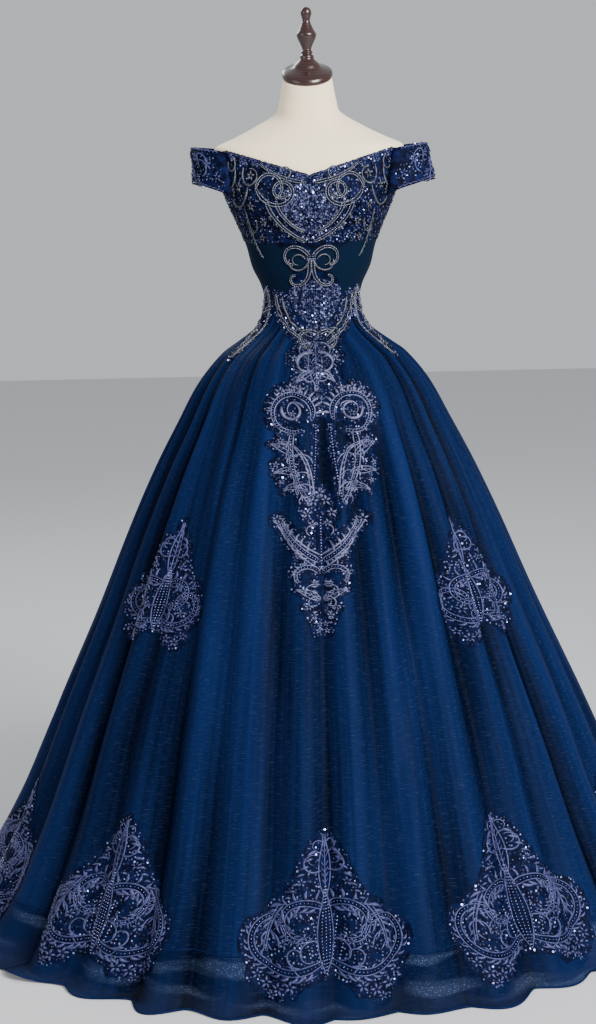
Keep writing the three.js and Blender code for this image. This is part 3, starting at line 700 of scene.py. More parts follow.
def build_cap():
    levels = np.concatenate([[1537], np.linspace(1537.6, 1664, 150)])
    rings = turned(levels, read(CAP, "radius", levels), 64)
    tilt = FIGURE["lean"][-1] * (1 - smooth(rings[..., 2], 1545, 1582))
    rings[..., 2] += tilt * rings[..., 1] + SEAM_GAP
    rings[..., 1] += FIGURE["back"][-1]
    lofted("neck_finial", rings, dark_wood, "dark_wood", "neck_cap")


def build_stand():
    rings = turned(STAND_FOOT["z"], STAND_FOOT["radius"], 96)
    lofted("stand_foot", rings, dark_wood, "dark_wood", "stand_base")
    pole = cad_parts["stand_pole"].data
    pole.materials.clear()
    pole.materials.append(steel)


# Bodice, sleeves and skirt


def bodice_grid(angles):
    """Angles and heights over the bodice, from the waist seam to its top edge."""
    angle, share = np.meshgrid(angles, np.linspace(0, 1, 64), indexing="ij")
    start = WAIST_SEAM + SEAM_GAP
    return angle, start + share * (bodice_top(angle) - start)


def build_bodice():
    limit = 180 - ZIP_HALF_ANGLE
    parts = [
        ("bodice_back_left", -limit, -SIDE_SEAM),
        ("bodice_front", -SIDE_SEAM, SIDE_SEAM),
        ("bodice_back_right", SIDE_SEAM, limit),
    ]
    for name, first, last in parts:
        angle, z = bodice_grid(np.linspace(first, last, int((last - first) / 1.5) + 1))
        turn = 180 - np.abs(180 - np.abs(angle))
        dip = 10 * np.cos(radians(3 * turn)) * (turn < 90)
        edge = LACE_LINE - dip + 4 * np.sin(radians(24 * turn))
        piece = panel(name + "_panel", name, figure_point(angle, z, 0), bodice_net,
                      "lace_ground", BODICE_WALL, flat_place(angle, BODICE_RADIUS, z * METRE),
                      {"lace": np.clip((z - edge) / 4 + 0.5, 0, 1)})
    angle, z = bodice_grid(180 + np.linspace(-1, 1, 9) * (ZIP_HALF_ANGLE - 0.2))
    groove = -0.9 * np.exp(-(((angle - 180) / 0.35) ** 2))
    tape = panel("back_closure", "back_zip", figure_point(angle, z, groove), satin, "satin",
                 SATIN_WALL, flat_place(angle, BODICE_RADIUS, z * METRE))


SLEEVE = {"start": 57, "end": 123, "lower_inner": 1322, "lower_outer": 1352}
SLEEVES = [("left", -1, 37, 46), ("right", 1, 37, 62)]


def sleeve_point(turn, share, side, upper_flare, lower_flare):
    span = SLEEVE["end"] - SLEEVE["start"]
    ring = np.clip((turn - SLEEVE["start"]) / span, 0, 1)
    swell = np.maximum(np.sin(math.pi * ring), 0) ** 0.7
    at_edge = bodice_top(np.where(turn < 90, SLEEVE["start"], SLEEVE["end"]))
    upper = at_edge + (SHOULDER_TIP + 3 - at_edge) * swell
    lower = SLEEVE["lower_inner"] + (SLEEVE["lower_outer"] - SLEEVE["lower_inner"]) * swell
    z = lower + (upper - lower) * share
    flare = (lower_flare + (upper_flare - lower_flare) * share) * swell
    ruffle = 1.6 * np.sin(radians(21 * turn + 40)) * (0.4 + np.abs(share - 0.5))
    reach = SLEEVE_WALL + SEAM_GAP + 1 + flare + ruffle
    point = figure_point(side * turn, np.minimum(z, SHOULDER_TIP), reach)
    point[..., 2] = z
    return point

def build_sleeves():
    turns = np.linspace(SLEEVE["start"], SLEEVE["end"], 72)
    turn, share = np.meshgrid(turns, np.linspace(0, 1, 20), indexing="ij")
    for name, side, upper_flare, lower_flare in SLEEVES:
        points = sleeve_point(turn, share, side, upper_flare, lower_flare)
        uv = np.stack([turn * SLEEVE_RUN, points[..., 2] * METRE], axis=-1)
        piece = panel(f"sleeve_{name}_band", "sleeve_" + name, points, bodice_net,
                      "lace_ground", SLEEVE_WALL, uv, {"lace": np.ones(turn.shape)}, side < 0)


def skirt_levels():
    return np.concatenate([
        np.linspace(WAIST_SEAM, 900, 40, endpoint=False),
        np.linspace(900, 140, 42, endpoint=False),
        np.linspace(140, 0, 24),
        np.linspace(0, -FLOOR_LENGTH, 6)[1:],
    ])


def hem_point(hem_angle, level, out):
    """The skirt's surface, with what is longer than the floor lying outwards on it."""
    z = np.maximum(level, 0)
    lying = np.maximum(-level, 0)
    wave = 0.5 + 0.28 * np.cos(radians(13 * hem_angle + 30)) + 0.22 * np.cos(
        radians(29 * hem_angle)
    )
    curl = np.exp(-(((hem_angle - HEM_CURL["angle"]) / HEM_CURL["half_width"]) ** 2))
    foot = 5 * (1 - smooth(z, 0, 46)) ** 2 + lying * (wave + HEM_CURL["reach"] * curl)
    point = skirt_point(hem_angle, z, out + foot)
    ripple = 0.5 + 0.5 * np.cos(radians(38 * hem_angle))
    lift = 0.05 * (1 - wave) + HEM_CURL["lift"] * curl * ripple
    point[..., 2] += 1.6 * (1 - smooth(z, 0, 6)) + lying * lift
    return point


def build_skirt():
    levels = skirt_levels()
    for name, first, last in GORES:
        angles = np.linspace(FOLD_STARTS[first], FOLD_STARTS[last], (last - first) * 12 + 1)
        angle, level = np.meshgrid(angles, levels, indexing="ij")
        points = hem_point(angle, level, 0)
        z = np.maximum(level, 0)
        steps = np.linalg.norm(np.diff(points, axis=1), axis=-1).mean(axis=0)
        length = np.concatenate([[0], np.cumsum(steps)]) * METRE
        # How far the cloth stands in or out of its fold, which the organza turns into painted
        # shade in the valleys and painted light on the crests.
        fold_shade = 0.5 + skirt_swing(angle, z) / (2.4 * read(FOLD_HEIGHT, "swing", z) + 3)
        veil = 1 - smooth(level, HEM_BAND - 5, HEM_BAND)
        piece = panel(name + "_organza", name, points, organza, "organza", ORGANZA_WALL,
                      flat_place(angle, SKIRT_RADIUS, length), {"fold_shade": fold_shade, "veil": veil}, True)


def build_underskirt():
    levels = np.linspace(UNDERSKIRT["foot"], UNDERSKIRT["top"], 44)
    for name, start in (("underskirt_front", -90), ("underskirt_back", 90)):
        angle, z = np.meshgrid(np.linspace(start, start + 180, 91), levels, indexing="ij")
        inset = UNDERSKIRT["inset"] * smooth(z, 60, 300) * (1 - smooth(z, 980, 1090))
        out = -read(FOLD_HEIGHT, "swing", z) * UNDERSKIRT["swing_share"] - 2 - inset
        piece = panel(name + "_satin", name, skirt_oval(angle, z, out), satin, "satin",
                      SATIN_WALL, flat_place(angle, SKIRT_RADIUS, z * METRE * 1.15))


# Lace: flat strokes of cord, laid on a surface of the gown


def scroll(x, y, heading, length, turn, curl, width, **kind):
    """A stroke from x, y; it turns by so many degrees in all, late where curl is high."""
    return {"x": x, "y": y, "heading": heading, "length": length, "turn": turn,
            "curl": curl, "width": width, "leaf": False, **kind}


def leaf(x, y, heading, length, turn, width, **kind):
    return scroll(x, y, heading, length, turn, 1, width, **{"leaf": True, **kind})


def pearls(x, y, heading, length, turn=0):
    """A row of beads without a cord."""
    return scroll(x, y, heading, length, turn, 1, 4, pearls=True)


def mirrored(strokes):
    return [
        {**s, "x": -s["x"], "heading": 180 - s["heading"], "turn": -s["turn"],
         "shift": -s.get("shift", 0)}
        for s in strokes
    ]


def both_sides(strokes):
    return strokes + mirrored(strokes)


def stroke_path(stroke, pitch=4.0):
    """A stroke's close points: it turns more and more towards its end, as a tendril does."""
    count = max(4 if stroke.get("petal") else 6, int(stroke["length"] / pitch))
    share = np.linspace(0, 1, count + 1)
    middle = (share[1:] + share[:-1]) / 2
    turned_by = lambda at: radians(stroke["heading"] + stroke["turn"] * at ** stroke["curl"])
    step = stroke["length"] / count
    x = stroke["x"] + np.concatenate([[0], np.cumsum(np.cos(turned_by(middle)) * step)])
    y = stroke["y"] + np.concatenate([[0], np.cumsum(np.sin(turned_by(middle)) * step)])
    heading = turned_by(share)
    root = np.minimum(1, 0.45 + share * 5)
    if stroke["leaf"]:
        swell = np.sin(math.pi * np.minimum(0.93, 0.07 + share))
    else:
        swell = 1 - 0.45 * share
    half = stroke["width"] / 2 * np.maximum(0.22, swell) * root
    aside = stroke.get("edge", 0) * half + stroke.get("shift", 0) * (1 - 0.5 * share)
    x, y = x - np.sin(heading) * aside, y + np.cos(heading) * aside
    if stroke.get("line"):
        half = stroke["line"] / 2 * np.minimum(1, 0.4 + 6 * share * (1 - share) * 2)
    return {"x": x, "y": y, "heading": heading, "half": half,
            "along": share * stroke["length"], "share": share}


def echoed(stroke, shift, line):
    """A thinner cord beside a scroll, drawing closer towards its end."""
    return {**stroke, "shift": shift, "line": line}


def leaflets(stroke, side, first, last, count, length, width, turn=-70, spread=58):
    """Small leaves along one side of a stroke, smaller towards its end."""
    path = stroke_path(stroke)
    made = []
    for share in np.linspace(first, last, count):
        i = int(share * (len(path["x"]) - 1))
        size = 1.1 - 0.5 * (share - first) / max(last - first, 0.01)
        heading = math.degrees(path["heading"][i]) + side * spread
        x = path["x"][i] - side * math.sin(path["heading"][i]) * path["half"][i]
        y = path["y"][i] + side * math.cos(path["heading"][i]) * path["half"][i]
        made.append(leaf(x, y, heading, length * size, side * turn, width * size, petal=True))
    return made


def rosettes(*flowers):
    """Small flowers with five petals round a bead, each given by its x, y and radius."""
    made = []
    for x, y, radius in flowers:
        for k in range(5):
            heading = 90 + 360 * k / 5
            made.append(leaf(x + math.cos(math.radians(heading)) * radius * 0.2,
                             y + math.sin(math.radians(heading)) * radius * 0.2,
                             heading, radius, 25, radius * 0.62, petal=True))
    return made


def ribs(stroke):
    """Short cords from a leaf's middle to its edges, pointing to its tip."""
    path = stroke_path(stroke)
    made = []
    for share in np.arange(0.12, 0.86, 9.0 / stroke["length"]):
        i = int(share * (len(path["x"]) - 1))
        for side in (1, -1):
            heading = math.degrees(path["heading"][i]) + side * 42
            length = path["half"][i] * 1.25
            made.append(leaf(path["x"][i], path["y"][i], heading, length, -side * 25, 2.0,
                             petal=True))
    return made


def joined(paths, *columns):
    """Named columns of several paths, end to end."""
    return [np.concatenate([path[key] for path in paths]) for key in columns]


def reach(strokes, x, y):
    """The distance from points to the nearest stroke's edge, and that stroke's place."""
    px, py, half = joined([stroke_path(stroke) for stroke in strokes], "x", "y", "half")
    away = np.hypot(x[..., None] - px, y[..., None] - py) - half
    nearest = away.argmin(axis=-1)
    distance = np.take_along_axis(away, nearest[..., None], -1)[..., 0]
    return distance, px[nearest], py[nearest], half[nearest]


def extent(strokes, margin):
    x, y = joined([stroke_path(stroke) for stroke in strokes], "x", "y")
    return x.min() - margin, x.max() + margin, y.min() - margin, y.max() + margin


def strewn(left, right, low, high, pitch, share):
    """Spots of a grid, each moved at random by up to a share of the pitch."""
    x, y = np.meshgrid(np.arange(left, right, pitch), np.arange(low, high, pitch))
    x = x.ravel() + random.uniform(-share, share, x.size) * pitch
    return x, y.ravel() + random.uniform(-share, share, y.size) * pitch


BROAD_CORD = 7.5
EDGE_LINE = 2.6
CORD_BASE = 0.9


class Lace:
    """Collects the cords, ground, sequins and beads of one piece of lace."""

    GROUND, CORD, SEQUIN, BEAD = range(4)
    PROFILE = [(1, 0), (0.58, 0.88), (-0.58, 0.88), (-1, 0), (0, -0.2)]

    def __init__(self, surface):
        self.surface = surface
        self.points, self.faces, self.slots = [], [], []
        self.stitch, self.shade = [], []
        self.cords, self.strung = [], []
        self.count = 0

    def append(self, points, faces, slot, stitch=None, shades=None):
        points = points.reshape(-1, 3)
        self.points.append(points)
        self.faces += [tuple(self.count + k for k in face) for face in faces]
        self.slots += [slot] * len(faces)
        self.stitch.append(np.zeros(len(points)) if stitch is None else stitch)
        self.shade.append(np.zeros(len(points)) if shades is None else shades)
        self.count += len(points)

    def normal(self, x, y):
        step = 1.5
        across = self.surface(x + step, y) - self.surface(x - step, y)
        along = self.surface(x, y + step) - self.surface(x, y - step)
        normal = unit(np.cross(across, along))
        centre = self.surface(x, y)
        outward = normal[..., 0] * centre[..., 0] + normal[..., 1] * centre[..., 1]
        return normal * np.where(outward < 0, -1, 1)[..., None]

    def cord(self, stroke, height=None, slot=CORD):
        """Keeps a stroke to be laid as a raised cord with the others."""
        if height is None:
            height = min(2.8, 0.9 + 0.32 * stroke.get("line", stroke["width"]))
        self.cords.append((stroke_path(stroke), height, slot))

    def lay_cords(self):
        """Lays all the kept cords on the surface at once, which is much quicker."""
        if not self.cords:
            return
        paths = [path for path, _, _ in self.cords]
        x, y, half, heading = joined(paths, "x", "y", "half", "heading")
        sideways, upwards = -np.sin(heading) * half, np.cos(heading) * half
        centre, normal = self.surface(x, y), self.normal(x, y)
        across = (self.surface(x + sideways, y + upwards)
                  - self.surface(x - sideways, y - upwards)) / 2
        sides = len(self.PROFILE)
        start = 0
        for path, height, slot in self.cords:
            count = len(path["x"])
            part = slice(start, start + count)
            start += count
            ends = np.minimum(1, 0.35 + 8 * path["share"] * (1 - path["share"]))
            rings = [centre[part] + across[part] * a
                     + normal[part] * (CORD_BASE + height * b * ends)[:, None]
                     for a, b in self.PROFILE]
            faces = tube_faces(count, sides)
            faces.append(tuple(range(sides)))
            faces.append(tuple((count - 1) * sides + k for k in range(sides)))
            self.append(np.stack(rings, axis=1), faces, slot, np.repeat(path["along"], sides))

    def dome(self, stroke, height):
        """The dark padded body of a leaf or a broad scroll."""
        self.cord(stroke, height, self.GROUND)

    def draw(self, strokes):
        for stroke in strokes:
            if stroke.get("pearls"):
                self.beading(stroke, 5.4, 2.1, 1.8)
                continue
            if stroke.get("petal") or stroke.get("line") or stroke["width"] < BROAD_CORD:
                self.cord(stroke)
                continue
            self.dome(stroke, 1.5)
            if stroke.get("quiet"):
                continue
            for edge in (1, -1):
                self.cord({**stroke, "edge": edge, "line": EDGE_LINE}, 2.0)
            if stroke.get("beaded"):
                for edge in (0.5, 0, -0.5):
                    self.beading({**stroke, "edge": edge}, 4.4, 1.7, 2.2)
            elif not stroke["leaf"]:
                self.beading(stroke, 5.2, 1.35, 2.2)
            else:
                self.cord({**stroke, "line": EDGE_LINE * 0.8}, 2.3)
                for rib in ribs(stroke):
                    self.cord(rib, 2.1)

    def ground(self, strokes, margin, pitch=5.0, base=0.7):
        """The net under the strokes, cut to a smooth outline round them."""
        left, right, low, high = extent(strokes, margin + pitch)
        xs, ys = np.arange(left, right, pitch), np.arange(low, high, pitch)
        x, y = np.meshgrid(xs, ys, indexing="ij")
        distance, near_x, near_y, half = reach(strokes, x, y)
        outside = distance > margin
        scale = (margin + half) / np.maximum(np.hypot(x - near_x, y - near_y), 1e-6)
        x = np.where(outside, near_x + (x - near_x) * scale, x)
        y = np.where(outside, near_y + (y - near_y) * scale, y)
        points = self.surface(x, y) + self.normal(x, y) * base
        faces = []
        inside = ~outside
        for i in range(len(xs) - 1):
            for j in range(len(ys) - 1):
                if inside[i:i + 2, j:j + 2].sum() >= 2:
                    a = i * len(ys) + j
                    faces.append((a, a + len(ys), a + len(ys) + 1, a + 1))
        used = sorted({k for face in faces for k in face})
        renumbered = {k: n for n, k in enumerate(used)}
        faces = [tuple(renumbered[k] for k in face) for face in faces]
        self.append(points.reshape(-1, 3)[used], faces, self.GROUND)

    def discs(self, x, y, radius, base=1.3):
        """Sequins: small tilted discs."""
        if not len(x):
            return
        upright = self.normal(x, y)
        normal = unit(upright + random.normal(0, 0.28, upright.shape))
        first = unit(np.cross(normal, [0.3, 0.1, 1.0]))
        radii = radius * random.uniform(0.75, 1.15, len(x))
        centre, sides = self.surface(x, y) + upright * base, 7
        points = rings_round(centre, first, np.cross(normal, first), radii, sides)
        faces = [tuple(range(k * sides, (k + 1) * sides)) for k in range(len(x))]
        shades = np.repeat(random.uniform(0, 1, len(x)) ** 2.6, sides)
        self.append(points, faces, self.SEQUIN, shades=shades)

    def scatter(self, strokes, margin, pitch, radius, clear=0.5):
        """Sequins over the ground between the cords."""
        x, y = strewn(*extent(strokes, margin), pitch, 0.35)
        distance = reach(strokes, x, y)[0]
        kept = (distance > clear) & (distance < margin - radius)
        self.discs(x[kept], y[kept], radius)

    def balls(self, x, y, radius, base):
        """Small round beads."""
        normal = self.normal(x, y)
        centre = self.surface(x, y) + normal * base[:, None]
        sides = 6
        shape = [(0, 0, -1)]
        for height in (-0.2, 0.66):
            width = math.sqrt(1 - height * height)
            for k in range(sides):
                turn = 2 * math.pi * k / sides
                shape.append((width * math.cos(turn), width * math.sin(turn), height))
        shape.append((0, 0, 1))
        ball = []
        for k in range(sides):
            a, b = 1 + k, 1 + (k + 1) % sides
            ball += [(0, b, a), (a, b, b + sides, a + sides),
                     (a + sides, b + sides, len(shape) - 1)]
        points = centre[:, None] + radius[:, None, None] * np.array(shape)[None]
        faces = [tuple(n * len(shape) + k for k in face) for n in range(len(x)) for face in ball]
        shades = np.repeat(random.uniform(0.2, 1, len(x)), len(shape))
        self.append(points, faces, self.BEAD, shades=shades)

    def beading(self, stroke, pitch, radius, base):
        """Keeps beads along a stroke, to be set with the others."""
        path = stroke_path(stroke, 1.5)
        spots = np.arange(0, stroke["length"], pitch)
        x, y = (np.interp(spots, path["along"], path[key]) for key in ("x", "y"))
        self.strung.append(np.stack([x, y, x * 0 + radius, x * 0 + base]))

    def finish(self, name, nodes=(), cord=None):
        """Makes the piece, on the gown as it is or in place of nodes."""
        self.lay_cords()
        if self.strung:
            self.balls(*np.concatenate(self.strung, axis=1))
        bead = beads if cord is silver_cord else blue_beads
        piece = mesh_object(
            name, np.concatenate(self.points), self.faces,
            [lace_ground, cord or lilac_cord, sequins, bead], self.slots,
            values={"stitch": np.concatenate(self.stitch), "shade": np.concatenate(self.shade)},
        )
        facing_out(piece)
        placed(piece, "lace_cord", *nodes)


def on_gown(angle, z, side=1, scale=1.0, rise=1.0):
    """Flat lace laid on the gown with its own origin at an angle and a height."""
    def surface(x, y):
        height = z + np.asarray(y, float) * scale * rise
        radius = np.where(height > WAIST_SEAM, read(FIGURE, "half_width", height),
                          read(SKIRT, "radius", height))
        turn = angle + np.degrees(np.asarray(x, float) * scale * side / radius)
        return gown_point(turn, height, 0)
    return surface


def on_sleeve(side, upper_flare, lower_flare):
    """Flat lace laid on a sleeve, from the middle of its lower edge."""
    def surface(x, y):
        turn = 90 + np.asarray(x, float) / 3.4
        share = np.clip(np.asarray(y, float) / 62, -0.05, 1.05)
        return sleeve_point(turn, share, side, upper_flare, lower_flare)
    return surface


def along_neckline(start, side):
    """Flat lace along the neckline: x runs from an angle outwards, y is above the edge."""
    def surface(x, y):
        turn = start + np.asarray(x, float) / 2.35
        return figure_point(side * turn, bodice_top(turn) + y, 0)
    return surface


# Motifs, drawn flat in millimetres with the part's own strokes and finer ones beside them

hem_scrolls = [scroll(1, 34, -22, 224, 322, 1.9, 10), scroll(1, 104, 42, 134, -268, 1.3, 9)]
hem_leaves = [leaf(0, 16, 90, 122, 0, 24, beaded=True), leaf(0, 120, 90, 92, 0, 17)]
hem_stem = scroll(58, 112, -50, 74, -34, 1, 4.2)
hem_fine = [
    scroll(3, 160, -20, 58, 240, 1.4, 4.2),
    scroll(2, 180, 62, 42, -240, 1.2, 3.4),
    scroll(2, 198, 64, 28, -230, 1.2, 3.0),
    hem_stem,
    echoed(hem_stem, 5, 2.4),
    *leaflets(hem_stem, 1, 0.05, 0.95, 7, 21, 6, -50, 52),
    *leaflets(hem_stem, -1, 0.1, 0.85, 4, 22, 6, 40, 30),
    scroll(32, 28, -8, 66, 310, 1.4, 4.0),
    scroll(66, 52, 100, 62, -270, 1.3, 3.6),
    scroll(10, 62, 16, 62, -230, 1.3, 3.4),
    scroll(12, 18, -34, 46, 120, 1, 3.2),
    *leaflets(hem_scrolls[0], -1, 0.1, 0.66, 13, 17, 5.5),
    *leaflets(hem_scrolls[0], 1, 0.2, 0.8, 8, 10, 4),
    *leaflets(hem_scrolls[1], 1, 0.14, 0.8, 8, 15, 5.5, 60),
    *leaflets(hem_scrolls[1], -1, 0.1, 0.92, 9, 17, 6, -50, 66),
    *rosettes((37, 104, 9)),
    pearls(10, 34, 82, 60), pearls(20, 36, 76, 44),
    *leaflets(scroll(6, 192, -64, 100, 10, 1, 4), 1, 0.05, 0.95, 8, 15, 6, -40, 62),
    *rosettes((50, 2, 8), (68, -4, 8), (86, 2, 8), (98, 16, 7), (60, 58, 7), (36, 62, 6),
              (32, 146, 6), (78, -14, 6)),
]
side_scrolls = [scroll(1, 28, -16, 148, 295, 1.9, 9), scroll(1, 84, 42, 106, -262, 1.3, 8)]
side_leaves = [leaf(0, 12, 90, 104, 0, 21, beaded=True), leaf(0, 102, 90, 88, 0, 15)]
side_fine = [
    scroll(3, 134, -20, 50, 240, 1.4, 4.0),
    scroll(2, 156, 64, 38, -240, 1.2, 3.2),
    scroll(2, 50, 16, 60, -230, 1.3, 3.4),
    scroll(22, 22, -4, 46, 300, 1.4, 3.6),
    scroll(12, 14, -30, 36, 110, 1, 3.2),
    *leaflets(side_scrolls[0], -1, 0.1, 0.66, 9, 15, 5.5),
    *leaflets(side_scrolls[1], 1, 0.1, 0.8, 7, 15, 5.5, 60),
    *leaflets(side_scrolls[1], -1, 0.1, 0.92, 7, 14, 5, -50, 66),
    *rosettes((30, 84, 8)),
    *leaflets(scroll(5, 168, -66, 80, 10, 1, 4), 1, 0.05, 0.95, 6, 13, 5.5, -40, 62),
    *rosettes((46, 42, 7), (34, 0, 7), (50, -4, 7), (62, 6, 6), (26, 118, 6), (64, 68, 6),
              (58, 88, 5)),
]
lobe_scrolls = [scroll(0, -34, 112, 196, -316, 1, 9), scroll(33, -54, -78, 146, -50, 1, 9)]
lobe_leaves = [leaf(31, -104, 54, 52, -50, 14), leaf(20, -138, 34, 52, -60, 13),
               leaf(7, -168, 48, 50, -100, 12)]
lobe_stem = scroll(-4, -178, 84, 134, -92, 2.6, 4.2)
lobe_fine = [
    scroll(52, -8, -78, 84, -285, 1.15, 7.2),
    scroll(12, -10, 60, 54, -200, 1.2, 4.2),
    pearls(-7, -44, -90, 142, 6),
    lobe_stem,
    echoed(lobe_stem, -6, 2.4),
    *leaflets(lobe_stem, -1, 0.25, 0.95, 7, 13, 5, -60, 46),
    scroll(-3, -166, 66, 52, -200, 1.3, 3.6),
    scroll(-2, -116, 74, 66, -230, 1.4, 3.8),
    scroll(2, -140, 60, 46, -210, 1.3, 3.2),
    scroll(2, -186, 66, 34, -200, 1.3, 3.6),
    *leaflets(lobe_scrolls[0], 1, 0.08, 0.6, 13, 16, 6.5, 50),
    *leaflets(lobe_scrolls[0], 1, 0.62, 0.95, 6, 9, 4, 50),
    *leaflets(lobe_scrolls[1], 1, 0.16, 0.95, 9, 16, 5.5, -60, 46),
    *leaflets(lobe_scrolls[1], -1, 0.2, 0.9, 7, 10, 4, 50, 40),
    *rosettes((18, 24, 8), (36, 27, 8), (54, 20, 8), (32, -22, 6), (56, -72, 6), (64, -118, 6),
              (54, -150, 5)),
]
drop_scrolls = [scroll(3, -108, 34, 104, 26, 1, 9), scroll(4, -130, 60, 70, -200, 1.3, 8)]
drop_leaves = [leaf(3, -182, 50, 50, -40, 13)]
drop_fine = [
    echoed(drop_scrolls[0], 11, 4.0),
    echoed(drop_scrolls[0], -11, 3.6),
    *leaflets(drop_scrolls[0], 1, 0.3, 0.98, 6, 20, 6, 60, 36),
    *leaflets(drop_scrolls[0], -1, 0.2, 0.98, 8, 18, 6, -60, 50),
    *leaflets(drop_scrolls[1], 1, 0.1, 0.8, 5, 12, 4.5, 60),
    scroll(3, -152, 30, 50, -190, 1.3, 3.8),
    scroll(3, -40, 30, 40, -190, 1.3, 3.6),
    scroll(2, -176, 40, 44, -220, 1.3, 3.6),
    *rosettes((77, -28, 8), (64, -38, 6), (46, -126, 6), (8, -236, 5)),
    *leaflets(scroll(3, -140, -84, 88, -4, 1, 4), 1, 0.05, 0.95, 8, 13, 5.5, 50, 60),
    *rosettes((12, 6, 9), (22, -16, 8), (14, -36, 7), (0, 20, 9), (24, -190, 6), (15, -207, 6),
              (6, -224, 5), (40, -92, 6)),
]
drop_middle = [leaf(0, -10, -90, 222, 0, 18, quiet=True), pearls(0, -26, -90, 96)]
bust_scrolls = [
    scroll(70, 16, -88, 103, -68, 0.6, 7),
    scroll(92, 37, -124, 176, -490, 1.8, 7),
    scroll(54, 14, -88, 76, -66, 0.6, 6),
    scroll(92, 36, 86, 100, 240, 1, 6),
    scroll(5, 46, 8, 92, 30, 1, 6),
]
bust_fine = [
    scroll(150, 74, -100, 100, 205, 1.2, 5.5),
    scroll(126, 74, -72, 92, -300, 1.3, 5),
    scroll(112, 38, -96, 78, 150, 1, 5),
    scroll(184, 92, -118, 74, 230, 1.2, 5),
    scroll(158, 96, -150, 62, 270, 1.2, 4.5),
    scroll(122, -4, -84, 92, -48, 1, 3.6),
    scroll(100, -20, -100, 46, 150, 1.2, 3.4),
    scroll(36, 54, 150, 44, -250, 1.2, 3.6),
    *leaflets(bust_scrolls[0], 1, 0.25, 0.85, 5, 11, 4.5),
    *leaflets(scroll(120, -10, -84, 84, -48, 1, 4), 1, 0.1, 0.9, 6, 11, 4.5),
    *rosettes((108, 60, 8), (138, 40, 8), (104, 6, 7), (118, -40, 6), (84, -24, 7), (160, 30, 7),
              (92, -52, 6)),
]
midriff_scrolls = [
    scroll(2, 2, 62, 86, -250, 1.4, 6),
    scroll(3, -4, -84, 58, 190, 1.2, 5),
    scroll(2, -2, -90, 92, 290, 2.7, 6),
]
midriff_fine = [scroll(9, -2, 62, 46, -250, 1.2, 4)]
waist_scrolls = [
    scroll(76, 14, -82, 114, -70, 0.6, 7),
    scroll(60, 8, -84, 88, -64, 0.6, 5),
    scroll(0, -60, 52, 62, -236, 1.2, 6),
]
waist_fine = [scroll(22, -48, 20, 36, -220, 1.2, 3.4)]
hip_scrolls = [
    scroll(0, 8, -92, 168, 8, 1, 7),
    scroll(0, 6, -40, 172, -104, 1, 7),
    scroll(2, -34, -80, 84, 265, 1.3, 6),
]
hip_fine = [
    scroll(20, -84, -60, 54, 240, 1.2, 4),
    *rosettes((30, -44, 8), (22, -104, 7), (14, -132, 6)),
]
centre_leaf = [leaf(0, 0, -90, 92, 0, 22)]
centre_scrolls = [scroll(2, -20, 7, 66, -205, 1.3, 7)]
centre_leaves = [leaf(2, -52, -24, 40, -24, 11)]
centre_fine = [
    scroll(2, -4, 24, 50, -210, 1.2, 4),
    scroll(2, -70, -40, 34, 190, 1.2, 3.4),
    *rosettes((34, -30, 6), (26, -66, 5)),
]

LACE_RISE = 0.88
HEM_SPRAYS = {"z": 40, "scale": 1.2, "angles": [0, 33, 70, 106, 143, 178, -145, -110, -74, -38]}
SIDE_SPRAYS = {"z": 556, "scale": 1.16, "angles": {
    "front_left": -47, "front_right": 47, "back_left": -133, "back_right": 133}}


def applique(name, nodes, surface, main, fine, cord=None, margin=8.0, pitch=5.2):
    """A piece of lace on its net, with cords, beads and strewn sequins."""
    lace = Lace(surface)
    lace.ground(main + fine, margin)
    lace.draw(main + fine)
    lace.scatter(main + fine, margin, pitch, SEQUIN)
    lace.finish(name, nodes, cord)


# Shields of sequins: heights and half widths from the point up
BUST_SHIELD = [(-64, 0), (-46, 17), (-22, 37), (4, 47), (26, 44), (42, 30)]
DROP_SHIELD = [(-88, 0), (-60, 15), (-20, 21), (10, 20), (26, 8)]
MIDRIFF_SHIELD = [(-26, 0), (-12, 7), (4, 8), (16, 0)]
WAIST_SHIELD = [(-56, 0), (-38, 17), (-14, 36), (8, 48), (26, 45), (38, 30), (46, 8)]


def shield(outline, pitch):
    """Spots inside an outline of heights and half widths, wide above and pointed below."""
    heights, widths = np.array(outline, float).T
    x, y = strewn(-widths.max(), widths.max(), heights[0], heights[-1], pitch, 0.3)
    inside = np.abs(x) < np.interp(y, heights, widths)
    return x[inside], y[inside]


